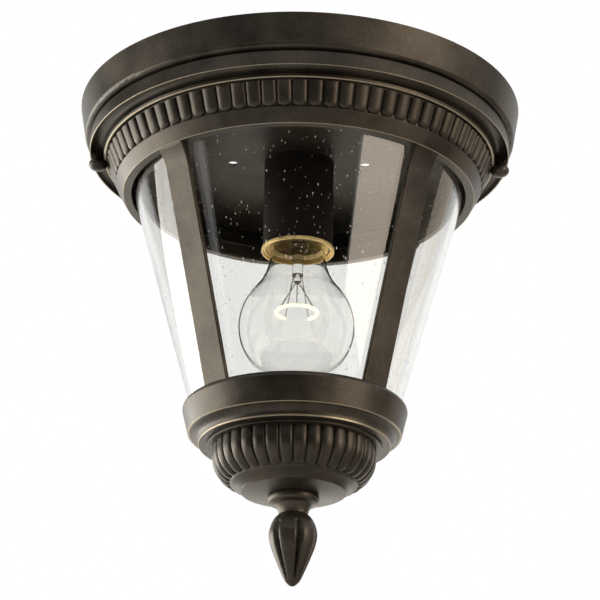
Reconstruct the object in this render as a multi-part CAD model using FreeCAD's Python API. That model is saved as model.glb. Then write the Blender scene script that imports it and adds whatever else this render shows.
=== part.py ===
"""Porch ceiling lantern.

A ceiling pan holds a lamp socket and its bulb. A cast cage hangs from the pan by two ball-headed thumb
screws and carries a seeded glass cone, a fluted cup and a bud finial.

Millimetres. The origin is the centre of the pan's rim, in the plane of the ceiling, and +Z points up
into the ceiling.
"""

import FreeCAD, Part
import math
import os

os.makedirs("parts", exist_ok=True)

# ---- ceiling pan: a pressed steel dish, open towards the ceiling ----
pan_radius = 116.0  # the rim that meets the ceiling
pan_height = 17.3  # ceiling to the underside of the shoulder
pan_taper = 2.6  # how far the wall leans in
pan_edge_round = 2.4  # rounding between the wall and the shoulder
pan_sheet = 1.2
pan_hem = 3.2  # flat turned-in rim
pan_drop = 10.7  # the middle web lies this far below the shoulder
pan_drop_gap = 7.4  # between the web's step and the collar's bore
box_screw_spacing = 69.85  # 2-3/4 in, the holes of a ceiling outlet box bar
box_screw_hole_radius = 2.6

# ---- foam seal in the seam between pan and collar ----
seal_thickness = 0.8
seal_inset = 1.6  # set back from the collar's outer face

# ---- collar, the top of the cage casting ----
collar_inset = 5.5  # from the pan's rim to the collar's face
collar_height = 7.6  # top face to the edge of the outer lip
outer_lip_width = 0.8
cove_width = 6.9
cove_depth = 3.6
cove_foot_share = 0.35  # the cove meets the inner lip this far up from it
inner_lip_drop = 2.9  # the inner lip hangs this far below the outer one
inner_lip_width = 1.4
rib_zone_height = 12.4
rib_zone_inset = 5.3  # how far the ribbed cone draws in
rib_count = 80
rib_depth = 1.5
rib_full_share = 0.86  # the ribs keep their full depth over this much of the cone
rib_end_share = 0.3  # and run out to this much of it
band_height = 7.4  # plain band below the ribs
band_inset = 4.1
collar_wall = 2.3
mouth_lip_width = 4.4  # width of the underside round the windows' top edge

# ---- glass cone ----
window_height = 115.5  # mouth of the collar to the top of the lower band
glass_wall = 3.0
glass_mouth_gap = 1.6  # between the collar's mouth and the glass
glass_bottom_radius = 52.4
glass_seat_depth = 3.1  # the glass stands this far inside the lower band
glass_rise = 8.6  # and reaches this far up into the collar
glass_fit = 0.3  # between the glass and the metal round it

# ---- bars of the cage ----
bar_count = 4
bar_first_angle = 45.0
bar_width = 16.0
bar_thickness = 2.5
bar_flare_height = 10.0
bar_foot_depth = 2.5  # each bar runs this far down into the lower band

# ---- clips that hold the glass down ----
clip_width = 9.0
clip_sheet = 0.8
clip_reach = 2.4  # how far a clip reaches over the glass
clip_screw_radius = 1.1
clip_screw_depth = 4.0
clip_head_share = 0.43  # radius of a head, as a share of the room between the glass and the collar
clip_head_height = 1.3
clip_wall_gap = 0.5  # between a clip and the collar's wall

# ---- lower band ----
cushion_thickness = 0.8
cushion_width = 2.1
lower_band_wall = 4.3
lower_band_height = 15.3
lower_band_taper = 3.0
lower_band_round = 3.1
lower_shoulder_share = 0.8  # the rounding is this much narrower than it is high
lower_cove_width = 5.8
lower_cove_height = 5.5
ledge_width = 3.2  # the ledge that carries the crossbar
ledge_thickness = 2.9

# ---- fluted cup ----
cup_neck_inset = 3.9
cup_neck_height = 1.4
cup_shoulder = 2.9
cup_round = 15.8  # radius of the bowl's rounded side
cup_round_drop = 4.6  # its centre below the neck
cup_flute_count = 36
cup_flute_depth = 1.2
cup_flute_end = 68.0  # degrees round the bowl's side
cup_flute_steps = 6
cup_flute_runout = 0.25  # share of their depth that is left where the flutes end
cup_ogee_share = 0.42  # where the foot's curve is pinned, from the disc's edge to the flutes' end
cup_ogee_sink = 0.08  # and how far it sags there
cup_disc_radius = 26.4
cup_disc_drop = 18.4  # edge of the disc below the bowl's centre
cup_disc_rise = 1.6  # the disc is a flat cone, lowest at the finial
cup_wall = 2.4
spigot_height = 2.2
spigot_clearance = 0.3

# ---- crossbar, stud and finial ----
crossbar_width = 14.0
crossbar_thickness = 2.0
crossbar_end_clearance = 0.5
stud_radius = 2.4
stud_clearance = 0.15
stud_grip = 12.0  # length inside the finial
stud_spare = 1.5  # length above its nut
washer_thickness = 0.9
washer_radius = 4.6
nut_height = 3.4
nut_flats = 9.5
finial_base_radius = 12.7
finial_base_height = 4.0
finial_neck_radius = 7.3
finial_neck_drop = 9.6
finial_bead_share = 0.3  # rounding of the base's rim, as a share of its height
finial_throat_inset = 1.9
finial_bud_radius = 12.1
finial_swell = ((0.80, 0.25), (0.92, 0.55), (1.0, 1.0))  # radius share, way from the neck to the bud's girth
finial_taper = ((0.93, 0.2), (0.76, 0.42), (0.5, 0.71), (0.3, 0.9))  # radius share, way from there to the tip
finial_bud_drop = 20.0
finial_length = 46.3
finial_tip_radius = 0.8
finial_leaf_count = 6
finial_leaf_turn = -74.5  # first groove, seen from above
finial_groove_width = 1.3
finial_groove_depth = 1.1

# ---- thumb screws ----
thumb_inset = 4.5  # axis inside the collar's face
thumb_shank_radius = 1.75
thumb_hole_clearance = 0.35
thumb_thread_clearance = 0.06  # in the nut and in the sleeve
thumb_sleeve_radius = 2.6
thumb_ball_radius = 4.95
thumb_ball_half_height = 3.6
thumb_ball_gap = 0.1  # the ball's crown lies this far below the collar's outer lip
thumb_ball_flat = 3.0  # flat under the sleeve, above the ball's middle
thumb_relief = 0.4  # the collar is relieved this far round the ball
thumb_seat_drop = 0.5  # spot face below the cove's crown
thumb_seat_clearance = 0.3
thumb_nut_radius = 4.2
thumb_nut_height = 4.5
thumb_spare = 1.0

# ---- socket ----
socket_length = 50.6  # web to the lower edge of the rim
sleeve_radius = 18.25
sleeve_wall = 1.4
rim_radius = 19.0
rim_width = 1.1
rim_height = 1.8
socket_fit = 0.1
socket_body_height = 34.0
shell_radius = 13.5  # inside of the screw shell
shell_wall = 0.5
shell_flare = 2.0  # its mouth opens out towards the rim
contact_depth = 31.6  # lower edge of the rim to the middle contact
contact_radius = 4.0
contact_sheet = 0.6
contact_rivet_radius = 1.6
contact_rivet_head = 2.8
cap_height = 3.0
cap_hub_radius = 8.0
cap_hub_height = 4.0
nipple_radius = 4.85
nipple_wall = 1.3
nipple_rise = 12.0  # above the web
nipple_clearance = 0.12
locknut_flats = 14.3
locknut_height = 3.0
bushing_flange = 1.2

# ---- bulb, a clear pear shape on a medium screw base ----
bulb_length = 103.0
bulb_radius = 30.0
bulb_shoulder_angle = 41.8  # where neck and globe meet, degrees above the globe's widest line
bulb_neck_radius = 14.3
bulb_neck_drop = 4.8  # neck's full width below the base shell
bulb_seal_height = 6.0  # glass cemented inside the base shell
bulb_wall = 0.7
base_radius = 13.05
base_thread_depth = 0.6
base_thread_pitch = 3.629
base_height = 25.0  # tip to the top of the shell
base_wall = 0.4
base_cone_height = 4.3
tip_radius = 4.8
tip_height = 1.2
stem_radius = 3.0
stem_height = 30.0
stem_flare = 4.0
button_radius = 2.2
lead_radius = 0.35
support_radius = 0.2
support_count = 5
filament_ring_radius = 10.5
filament_drop = 16.0  # below the stem's button
filament_coil_radius = 0.45
filament_open_angle = 70.0  # gap in the ring, towards the back

# ---- levels, worked out downwards from the ceiling ----
shoulder_z = -pan_height
web_z = shoulder_z - pan_drop
collar_top_z = shoulder_z - seal_thickness
outer_lip_z = collar_top_z - collar_height
cove_z = outer_lip_z + cove_depth
inner_lip_z = outer_lip_z - inner_lip_drop
rib_end_z = inner_lip_z - rib_zone_height
mouth_z = rib_end_z - band_height
lower_band_z = mouth_z - window_height
glass_bottom_z = lower_band_z - glass_seat_depth
glass_top_z = mouth_z + glass_rise
seat_z = glass_bottom_z - cushion_thickness
lower_edge_z = lower_band_z - lower_band_height
lower_lip_z = lower_edge_z - lower_cove_height
ledge_z = lower_lip_z + ledge_thickness
cup_neck_z = lower_lip_z - cup_neck_height
cup_centre_z = cup_neck_z - cup_round_drop
disc_z = cup_centre_z - cup_disc_drop
finial_z = disc_z - cup_disc_rise
crossbar_top_z = ledge_z + crossbar_thickness
stud_nut_z = crossbar_top_z + washer_thickness
stud_top_z = stud_nut_z + nut_height + stud_spare
socket_rim_z = web_z - socket_length
contact_z = socket_rim_z + contact_depth
crown_z = contact_z - bulb_length
globe_z = crown_z + bulb_radius
base_top_z = contact_z - base_height
thumb_seat_z = cove_z - thumb_seat_drop
thumb_ball_z = outer_lip_z - thumb_ball_gap - thumb_ball_half_height
thumb_sleeve_z = thumb_ball_z + thumb_ball_flat
thumb_nut_z = shoulder_z + pan_sheet
thumb_top_z = thumb_nut_z + thumb_nut_height + thumb_spare

# ---- radii, worked out inwards from the pan ----
collar_radius = pan_radius - collar_inset
cove_outer_radius = collar_radius - outer_lip_width
inner_lip_radius = cove_outer_radius - cove_width
rib_top_radius = inner_lip_radius - inner_lip_width
rib_end_radius = rib_top_radius - rib_zone_inset
mouth_radius = rib_end_radius - band_inset
mouth_bore = mouth_radius - mouth_lip_width
collar_bore = inner_lip_radius - collar_wall
web_radius = collar_bore - pan_drop_gap
glass_mouth_radius = mouth_bore - glass_mouth_gap
thumb_radius = collar_radius - thumb_inset
lower_band_radius = glass_bottom_radius + glass_fit + lower_band_wall
lower_edge_radius = lower_band_radius - lower_band_taper
lower_lip_radius = lower_edge_radius - lower_cove_width
cup_neck_radius = lower_lip_radius - cup_neck_inset
cup_hole_radius = cup_neck_radius - cup_wall / 2
ledge_wall_radius = cup_hole_radius + ledge_width + cup_wall / 2
cup_flute_radius = cup_neck_radius - cup_shoulder
cup_centre_radius = cup_flute_radius - cup_round


def glass_radius(z):
    """Outer radius of the glass cone at a level."""
    share = (mouth_z - z) / (mouth_z - glass_bottom_z)
    return glass_mouth_radius + share * (glass_bottom_radius - glass_mouth_radius)


# ---- building blocks ----
def at(radius, z):
    return FreeCAD.Vector(radius, 0, z)


def outline(start, *steps):
    """Closed wire in the XZ plane.

    A step is a point, a pair (through, end) for an arc, or a list of points that a smooth curve passes.
    """
    edges = []
    here = start
    for step in steps + (start,):
        if isinstance(step, list):
            end = step[-1]
            curve = Part.BSplineCurve()
            curve.interpolate([at(*here)] + [at(*point) for point in step])
            edges.append(curve.toShape())
        elif isinstance(step[0], tuple):
            through, end = step
            edges.append(Part.Arc(at(*here), at(*through), at(*end)).toShape())
        elif step != here:
            end = step
            edges.append(Part.makeLine(at(*here), at(*end)))
        here = end
    return Part.Wire(edges)


def turned(start, *steps):
    """Solid of revolution about Z."""
    face = Part.Face(outline(start, *steps))
    solid = face.revolve(FreeCAD.Vector(0, 0, 0), FreeCAD.Vector(0, 0, 1), 360)
    return upright(solid)


def upright(shape):
    """The shape as an outward-facing solid."""
    solid = shape.Solids[0] if shape.Solids else Part.Solid(shape)
    if solid.Volume < 0:
        solid.reverse()
    return solid


def cylinder(radius, low, high, x=0.0, y=0.0):
    return Part.makeCylinder(radius, high - low, FreeCAD.Vector(x, y, low))


def tube(outer, inner, low, high, x=0.0, y=0.0):
    return cylinder(outer, low, high, x, y).cut(cylinder(inner, low, high, x, y))


def hexagon(flats, low, high, hole):
    """Hex nut on the Z axis with a plain hole."""
    corner = flats / 2 / math.cos(math.pi / 6)
    points = []
    for side in range(7):
        angle = math.radians(60 * side)
        points.append(FreeCAD.Vector(corner * math.cos(angle), corner * math.sin(angle), low))
    block = Part.Face(Part.makePolygon(points)).extrude(FreeCAD.Vector(0, 0, high - low))
    return block.cut(cylinder(hole, low, high))


def turned_copy(shape, degrees):
    copy = shape.copy()
    copy.rotate(FreeCAD.Vector(0, 0, 0), FreeCAD.Vector(0, 0, 1), degrees)
    return copy


def around(shape, count, first=0.0):
    """The shape and its copies, evenly spaced about Z."""
    return [turned_copy(shape, first + 360.0 * k / count) for k in range(count)]


def slab(start, steps, width):
    """A radial section, extruded evenly to both sides of the XZ plane."""
    face = Part.Face(outline(start, *steps))
    face.translate(FreeCAD.Vector(0, -width / 2, 0))
    return upright(face.extrude(FreeCAD.Vector(0, width, 0)))


def scalloped(radius, z, count, depth):
    """Closed wire of outward arcs, with its crests on the radius."""
    step = 2 * math.pi / count
    valley = radius - depth

    def spot(distance, angle):
        return FreeCAD.Vector(distance * math.cos(angle), distance * math.sin(angle), z)

    arcs = []
    for k in range(count):
        angle = k * step
        crest = spot(radius, angle + step / 2)
        arcs.append(Part.Arc(spot(valley, angle), crest, spot(valley, angle + step)).toShape())
    return Part.Wire(arcs)


def rod(start, end, radius):
    """Round wire between two points."""
    run = end - start
    return Part.makeCylinder(radius, run.Length, start, run)


def neck_arc(start, end, end_slope):
    """Point on the arc from start to end that leaves the end at a slope in degrees from straight down."""
    across = end[0] - start[0]
    down = start[1] - end[1]
    chord_slope = math.atan2(across, down)
    bulge = math.hypot(across, down) / 2 * math.tan((math.radians(end_slope) - chord_slope) / 2)
    middle = ((start[0] + end[0]) / 2, (start[1] + end[1]) / 2)
    return (middle[0] - bulge * math.cos(chord_slope), middle[1] - bulge * math.sin(chord_slope))


# ---- ceiling pan and what it carries ----
def ceiling_pan():
    wall_foot = pan_radius - pan_taper
    edge_top = shoulder_z + pan_edge_round
    slant = pan_edge_round * (1 - math.sqrt(0.5))
    inner_round = pan_edge_round - pan_sheet
    inner_slant = inner_round * (1 - math.sqrt(0.5))
    inner_foot = wall_foot - pan_sheet
    shoulder_top = shoulder_z + pan_sheet
    pan = turned(
        (pan_radius - pan_hem, 0),
        (pan_radius, 0),
        (wall_foot, edge_top),
        ((wall_foot - slant, shoulder_z + slant), (wall_foot - pan_edge_round, shoulder_z)),
        (web_radius, shoulder_z),
        (web_radius - pan_sheet, web_z),
        (0, web_z),
        (0, web_z + pan_sheet),
        (web_radius - 2 * pan_sheet, web_z + pan_sheet),
        (web_radius - pan_sheet, shoulder_top),
        (inner_foot - inner_round, shoulder_top),
        ((inner_foot - inner_slant, shoulder_top + inner_slant), (inner_foot, shoulder_top + inner_round)),
        (pan_radius - pan_sheet, -pan_sheet),
        (pan_radius - pan_hem, -pan_sheet),
    )
    for side in (-1, 1):
        pan = pan.cut(cylinder(box_screw_hole_radius, web_z, web_z + pan_sheet, side * box_screw_spacing / 2))
        pan = pan.cut(cylinder(thumb_hole_radius(), shoulder_z, thumb_nut_z, side * thumb_radius))
    return pan.cut(cylinder(nipple_radius + nipple_clearance, web_z, web_z + pan_sheet))


def thumb_hole_radius():
    return thumb_shank_radius + thumb_hole_clearance


def pan_seal():
    seal = tube(collar_radius - seal_inset, collar_bore, collar_top_z, shoulder_z)
    for side in (-1, 1):
        seal = seal.cut(cylinder(thumb_hole_radius(), collar_top_z, shoulder_z, side * thumb_radius))
    return seal


def thumb_screw_nuts():
    bore = thumb_shank_radius + thumb_thread_clearance
    nuts = []
    for side in (-1, 1):
        nuts.append(
            tube(thumb_nut_radius, bore, thumb_nut_z, thumb_nut_z + thumb_nut_height, side * thumb_radius)
        )
    return Part.makeCompound(nuts)


# ---- socket ----
body_bottom_z = socket_rim_z + rim_height
body_top_z = body_bottom_z + socket_body_height
body_radius = sleeve_radius - sleeve_wall - socket_fit
well_top_z = contact_z + contact_sheet
hub_top_z = body_top_z + cap_height + cap_hub_height


def socket_sleeve():
    return tube(sleeve_radius, sleeve_radius - sleeve_wall, body_bottom_z, web_z)


def socket_rim():
    return turned(
        (rim_radius - rim_width, socket_rim_z + rim_width / 2),
        ((rim_radius - rim_width / 2, socket_rim_z), (rim_radius, socket_rim_z + rim_width / 2)),
        (rim_radius, body_bottom_z),
        (rim_radius - rim_width - sleeve_wall, body_bottom_z),
        (rim_radius - rim_width - sleeve_wall, body_bottom_z - rim_width / 2),
        (rim_radius - rim_width, body_bottom_z - rim_width / 2),
    )


def socket_screw_shell():
    flare_z = body_bottom_z + shell_flare
    mouth = shell_radius + shell_flare
    return turned(
        (shell_radius, flare_z),
        (mouth, body_bottom_z),
        (mouth + shell_wall, body_bottom_z),
        (shell_radius + shell_wall, flare_z),
        (shell_radius + shell_wall, well_top_z),
        (shell_radius, well_top_z),
    )


def socket_body():
    """Moulded insulator with a well for the screw shell and a hole for the middle contact's rivet."""
    well = shell_radius + shell_wall + socket_fit
    return turned(
        (well, body_bottom_z + shell_flare),
        (well + shell_flare, body_bottom_z),
        (body_radius, body_bottom_z),
        (body_radius, body_top_z),
        (contact_rivet_radius, body_top_z),
        (contact_rivet_radius, well_top_z),
        (well, well_top_z),
    )


def socket_contact():
    """Middle contact, riveted through the insulator."""
    return turned(
        (0, contact_z),
        (contact_radius, contact_z),
        (contact_radius, well_top_z),
        (contact_rivet_radius, well_top_z),
        (contact_rivet_radius, body_top_z),
        (contact_rivet_head, body_top_z),
        (contact_rivet_head, body_top_z + contact_sheet),
        (0, body_top_z + contact_sheet),
    )


def socket_cap():
    """Steel cap with a threaded hub that closes the socket and takes the nipple."""
    return turned(
        (nipple_radius, body_top_z),
        (body_radius, body_top_z),
        (body_radius, body_top_z + cap_height),
        (cap_hub_radius, body_top_z + cap_height),
        (cap_hub_radius, hub_top_z),
        (nipple_radius, hub_top_z),
    )


def socket_nipple():
    """Hollow threaded tube that fixes the socket to the web and lets the leads through."""
    return tube(nipple_radius, nipple_radius - nipple_wall, body_top_z, web_z + nipple_rise)


def nipple_washer():
    low = web_z + pan_sheet
    return tube(locknut_flats / 2, nipple_radius + nipple_clearance, low, low + washer_thickness)


def nipple_locknut():
    low = web_z + pan_sheet + washer_thickness
    return hexagon(locknut_flats, low, low + locknut_height, nipple_radius)


def nipple_bushing():
    """Plastic bushing that keeps the leads off the nipple's edge."""
    inside = nipple_radius - nipple_wall - nipple_clearance
    top = web_z + nipple_rise
    return turned(
        (inside - bushing_flange, top - 2 * bushing_flange),
        (inside, top - 2 * bushing_flange),
        (inside, top),
        (nipple_radius, top),
        (nipple_radius, top + bushing_flange),
        (inside - bushing_flange, top + bushing_flange),
    )


# ---- bulb ----
def bulb_glass():
    slope = math.radians(bulb_shoulder_angle)
    seal_radius = base_radius - base_thread_depth - base_wall

    def wall(offset):
        globe = bulb_radius - offset
        throat = (seal_radius - offset, base_top_z)
        neck = (bulb_neck_radius - offset, base_top_z - bulb_neck_drop)
        shoulder = (globe * math.cos(slope), globe_z + globe * math.sin(slope))
        bend = neck_arc(neck, shoulder, bulb_shoulder_angle)
        cheek = (globe * math.sqrt(0.5), globe_z - globe * math.sqrt(0.5))
        return throat, neck, bend, shoulder, cheek, (0, globe_z - globe)

    throat, neck, bend, shoulder, cheek, crown = wall(0)
    inner_throat, inner_neck, inner_bend, inner_shoulder, inner_cheek, inner_crown = wall(bulb_wall)
    return turned(
        (inner_throat[0], stem_top_z),
        (throat[0], stem_top_z),
        throat,
        neck,
        (bend, shoulder),
        (cheek, crown),
        inner_crown,
        (inner_cheek, inner_shoulder),
        (inner_bend, inner_neck),
        inner_throat,
    )


def bulb_base_shell():
    """Screw shell with rolled rings where the thread is."""
    top = contact_z - base_cone_height
    root = base_radius - base_thread_depth
    steps = [(root, base_top_z)]
    z = base_top_z + base_thread_pitch
    while z + base_thread_pitch < top:
        steps.append((root, z))
        steps.append(((base_radius, z + base_thread_pitch / 2), (root, z + base_thread_pitch)))
        z += base_thread_pitch
    steps.append((root, top))
    inner = root - base_wall
    steps += [(inner, top), (inner, base_top_z)]
    return turned(*steps)


def bulb_insulator():
    """Dark glass cone between the shell and the tip contact."""
    top = contact_z - base_cone_height
    return turned(
        (0, top),
        (base_radius - base_thread_depth - base_wall, top),
        (tip_radius, contact_z - tip_height),
        (0, contact_z - tip_height),
    )


def bulb_tip_contact():
    return turned(
        (0, contact_z - tip_height),
        (tip_radius, contact_z - tip_height),
        (contact_radius, contact_z),
        (0, contact_z),
    )


stem_top_z = base_top_z + bulb_seal_height
stem_end_z = stem_top_z - stem_height
button_z = stem_end_z + button_radius
filament_z = stem_end_z - filament_drop
filament_start = 90.0 + filament_open_angle / 2
filament_sweep = 360.0 - filament_open_angle


def bulb_stem():
    """Glass mount: a flare sealed into the neck, a rod and the button that holds the supports."""
    flare_radius = base_radius - base_thread_depth - base_wall - bulb_wall
    flare_mid = (stem_radius + stem_flare / 2, stem_top_z - stem_flare)
    slant = button_radius * math.sqrt(0.5)
    pole = (button_radius * math.sin(math.pi / 8), button_z - button_radius * math.cos(math.pi / 8))
    return turned(
        (0, stem_top_z),
        (flare_radius, stem_top_z),
        (flare_radius, stem_top_z - bulb_wall),
        (flare_mid, (stem_radius, stem_top_z - 2 * stem_flare)),
        (stem_radius, button_z + button_radius),
        (button_radius / 2, button_z + button_radius),
        (button_radius / 2, button_z + slant),
        (slant, button_z + slant),
        ((button_radius, button_z), (slant, button_z - slant)),
        (pole, (0, stem_end_z)),
    )


def filament_point(degrees, rise=0.0):
    """Point on the filament's ring, or above it."""
    angle = math.radians(degrees)
    across = filament_ring_radius * math.cos(angle)
    back = filament_ring_radius * math.sin(angle)
    return FreeCAD.Vector(across, back, filament_z + rise)


def bulb_filament():
    """Coiled wire, as one round coil that runs in an open ring."""
    middle = filament_start + filament_sweep / 2
    end = filament_start + filament_sweep
    path = Part.Arc(filament_point(filament_start), filament_point(middle), filament_point(end)).toShape()
    angle = math.radians(filament_start)
    along = FreeCAD.Vector(-math.sin(angle), math.cos(angle), 0)
    section = Part.Wire(Part.makeCircle(filament_coil_radius, filament_point(filament_start), along))
    return upright(Part.Wire(path).makePipeShell([section], True, True))


def bulb_lead_wires():
    """Two wires from the foot of the stem's rod to the ends of the coil."""
    rise = filament_coil_radius + lead_radius
    foot_x = stem_radius - 2 * lead_radius
    foot_z = button_z + button_radius - lead_radius
    leads = []
    for end, side in ((filament_start, -1), (filament_start + filament_sweep, 1)):
        top = FreeCAD.Vector(side * foot_x, 0, foot_z)
        leads.append(rod(top, filament_point(end, rise), lead_radius))
    return Part.makeCompound(leads)


def bulb_supports():
    """Fine wires from the button to the top of the coil."""
    button = FreeCAD.Vector(0, 0, button_z)
    wires = []
    for k in range(support_count):
        turn = filament_start + filament_sweep * (k + 1) / (support_count + 1)
        hook = filament_point(turn, filament_coil_radius + support_radius)
        run = hook - button
        foot = button + run * (button_radius / run.Length)
        wires.append(rod(foot, hook, support_radius))
    return Part.makeCompound(wires)


# ---- cage ----
def collar_lining(z):
    """Inner radius of the ribbed cone's wall at a level."""
    share = (inner_lip_z - z) / rib_zone_height
    return rib_top_radius - rib_depth - collar_wall - share * rib_zone_inset


def collar():
    """Moulded head, ribbed cone and plain band, hollowed to an even wall."""
    cove_middle = (cove_outer_radius + inner_lip_radius) / 2 + cove_width / 6
    cove_foot = inner_lip_z + (cove_z - inner_lip_z) * cove_foot_share
    edge = outer_lip_width / 2
    inner_edge = (inner_lip_radius - inner_lip_width / 4, inner_lip_z + inner_lip_width / 8)
    head = turned(
        (collar_bore, collar_top_z),
        (collar_radius - edge, collar_top_z),
        (collar_radius, collar_top_z - edge),
        (collar_radius, outer_lip_z + edge),
        ((collar_radius - edge, outer_lip_z), (cove_outer_radius, outer_lip_z + edge)),
        ((cove_middle, cove_z), (inner_lip_radius + inner_lip_width / 2, cove_foot)),
        (inner_lip_radius, inner_lip_z + inner_lip_width / 2),
        (inner_edge, (rib_top_radius, inner_lip_z)),
        (collar_lining(inner_lip_z), inner_lip_z),
        (collar_bore, inner_lip_z + collar_wall),
    )
    full_radius = rib_top_radius - rib_full_share * rib_zone_inset
    full_z = inner_lip_z - rib_full_share * rib_zone_height
    end_depth = rib_depth * rib_end_share
    ribs = Part.makeLoft(
        [
            scalloped(rib_top_radius, inner_lip_z, rib_count, rib_depth),
            scalloped(full_radius, full_z, rib_count, rib_depth),
            scalloped(rib_end_radius - 2 * end_depth, rib_end_z, rib_count, end_depth),
        ],
        True,
        True,
    )
    hollow = turned(
        (0, inner_lip_z),
        (collar_lining(inner_lip_z), inner_lip_z),
        (collar_lining(rib_end_z), rib_end_z),
        (0, rib_end_z),
    )
    slant = edge * (1 - math.sqrt(0.5))
    band = turned(
        (collar_lining(rib_end_z), rib_end_z),
        (rib_end_radius, rib_end_z),
        (mouth_radius, mouth_z + edge),
        ((mouth_radius - slant, mouth_z + slant), (mouth_radius - edge, mouth_z)),
        (mouth_bore, mouth_z),
        (mouth_bore, mouth_z + mouth_lip_width / 2),
    )
    return head.fuse(ribs.cut(hollow)).fuse(band)


def bar_face(z):
    """Distance from the axis to a bar's outer face."""
    return glass_radius(z) + glass_fit + bar_thickness


def bar():
    """One bar, from its foot in the lower band to the boss in the collar that takes a clip."""
    foot_z = lower_band_z - bar_foot_depth
    boss_z = glass_top_z
    flare_z = mouth_z - bar_flare_height
    mouth_face = math.sqrt(mouth_radius**2 - (bar_width / 2) ** 2) - outer_lip_width / 4
    flare_middle = ((mouth_face + bar_face(flare_z)) / 2 - bar_thickness / 5, (mouth_z + flare_z) / 2)
    wall_z = (mouth_z + rib_end_z) / 2
    wall_middle = (mouth_radius + rib_end_radius + mouth_bore + collar_lining(rib_end_z)) / 4
    boss_back = collar_lining(rib_end_z) + collar_wall / 2
    return slab(
        (glass_radius(foot_z) + glass_fit, foot_z),
        (
            (bar_face(foot_z), foot_z),
            (bar_face(flare_z), flare_z),
            (flare_middle, (mouth_face, mouth_z)),
            (wall_middle, wall_z),
            (boss_back, boss_z),
            (glass_radius(boss_z) + glass_fit, boss_z),
        ),
        bar_width,
    )


def lower_band():
    """Rounded shoulder, tapered face, cove and lip, with a seat for the glass and a ledge for the bar."""
    round_z = lower_band_z - lower_band_round
    shoulder_width = lower_band_round * lower_shoulder_share
    shoulder_in = lower_band_radius - shoulder_width
    slant = 1 - math.sqrt(0.5)
    shoulder_mid = (lower_band_radius - shoulder_width * slant, lower_band_z - lower_band_round * slant)
    bead = outer_lip_width
    edge_mid = (lower_edge_radius - bead * slant, lower_edge_z + bead * slant)
    lip_edge = bead / 2
    cove_low = (lower_lip_radius + lip_edge, lower_lip_z + bead)
    cove_mid = (lower_lip_radius + lower_cove_width * slant, lower_edge_z - lower_cove_height * slant)
    lip_mid = (lower_lip_radius + lip_edge * slant, lower_lip_z + bead * slant)
    seat_inner = glass_bottom_radius - cushion_width
    return turned(
        (glass_radius(lower_band_z) + glass_fit, lower_band_z),
        (shoulder_in, lower_band_z),
        (shoulder_mid, (lower_band_radius, round_z)),
        (lower_edge_radius, lower_edge_z + bead),
        (edge_mid, (lower_edge_radius - bead, lower_edge_z)),
        (cove_mid, cove_low),
        (lip_mid, (lower_lip_radius - lip_edge, lower_lip_z)),
        (cup_hole_radius, lower_lip_z),
        (cup_hole_radius, ledge_z),
        (ledge_wall_radius, ledge_z),
        (seat_inner, seat_z),
        (glass_radius(seat_z) + glass_fit, seat_z),
    )


def cage_frame():
    """Collar, bars and lower band as the one casting that they are."""
    frame = collar()
    for member in around(bar(), bar_count, bar_first_angle):
        frame = frame.fuse(member)
    frame = frame.fuse(lower_band())
    hole = cylinder(clip_screw_radius, glass_top_z - clip_screw_depth, glass_top_z, clip_screw_distance())
    for cutter in around(hole, bar_count, bar_first_angle):
        frame = frame.cut(cutter)
    for side in (-1, 1):
        x = side * thumb_radius
        frame = frame.cut(cylinder(thumb_hole_radius(), thumb_seat_z, collar_top_z, x))
        seat_radius = thumb_sleeve_radius + thumb_seat_clearance
        frame = frame.cut(cylinder(seat_radius, inner_lip_z, thumb_seat_z, x))
        relief_low = thumb_ball_z - thumb_ball_half_height - thumb_relief
        frame = frame.cut(cylinder(thumb_ball_radius + thumb_relief, relief_low, outer_lip_z, x))
    return upright(frame)


def clip_room():
    """Room between the glass and the collar's wall at the clips."""
    return collar_lining(glass_top_z) - glass_radius(glass_top_z)


def clip_screw_distance():
    return glass_radius(glass_top_z) + clip_room() / 2


def glass_shade():
    slope = (glass_mouth_radius - glass_bottom_radius) / (mouth_z - glass_bottom_z)
    across = glass_wall * math.sqrt(1 + slope**2)
    return turned(
        (glass_bottom_radius - across, glass_bottom_z),
        (glass_bottom_radius, glass_bottom_z),
        (glass_radius(glass_top_z), glass_top_z),
        (glass_radius(glass_top_z) - across, glass_top_z),
    )


def glass_cushion():
    return tube(glass_bottom_radius, glass_bottom_radius - cushion_width, seat_z, glass_bottom_z)


def glass_clips():
    inner = glass_radius(glass_top_z) - clip_reach
    outer = collar_lining(glass_top_z) - clip_wall_gap
    plate = Part.makeBox(
        outer - inner, clip_width, clip_sheet, FreeCAD.Vector(inner, -clip_width / 2, glass_top_z)
    )
    hole = cylinder(clip_screw_radius, glass_top_z, glass_top_z + clip_sheet, clip_screw_distance())
    return Part.makeCompound(around(plate.cut(hole), bar_count, bar_first_angle))


def glass_clip_screws():
    x = clip_screw_distance()
    head_z = glass_top_z + clip_sheet
    shank = cylinder(clip_screw_radius, glass_top_z - clip_screw_depth, head_z, x)
    head = cylinder(clip_head_share * clip_room(), head_z, head_z + clip_head_height, x)
    return Part.makeCompound(around(upright(shank.fuse(head)), bar_count, bar_first_angle))


def cup_side(round_radius, degrees):
    """Point on the bowl's rounded side, or inside it, so many degrees below its widest line."""
    angle = math.radians(degrees)
    return (cup_centre_radius + round_radius * math.cos(angle), cup_centre_z - round_radius * math.sin(angle))


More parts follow.
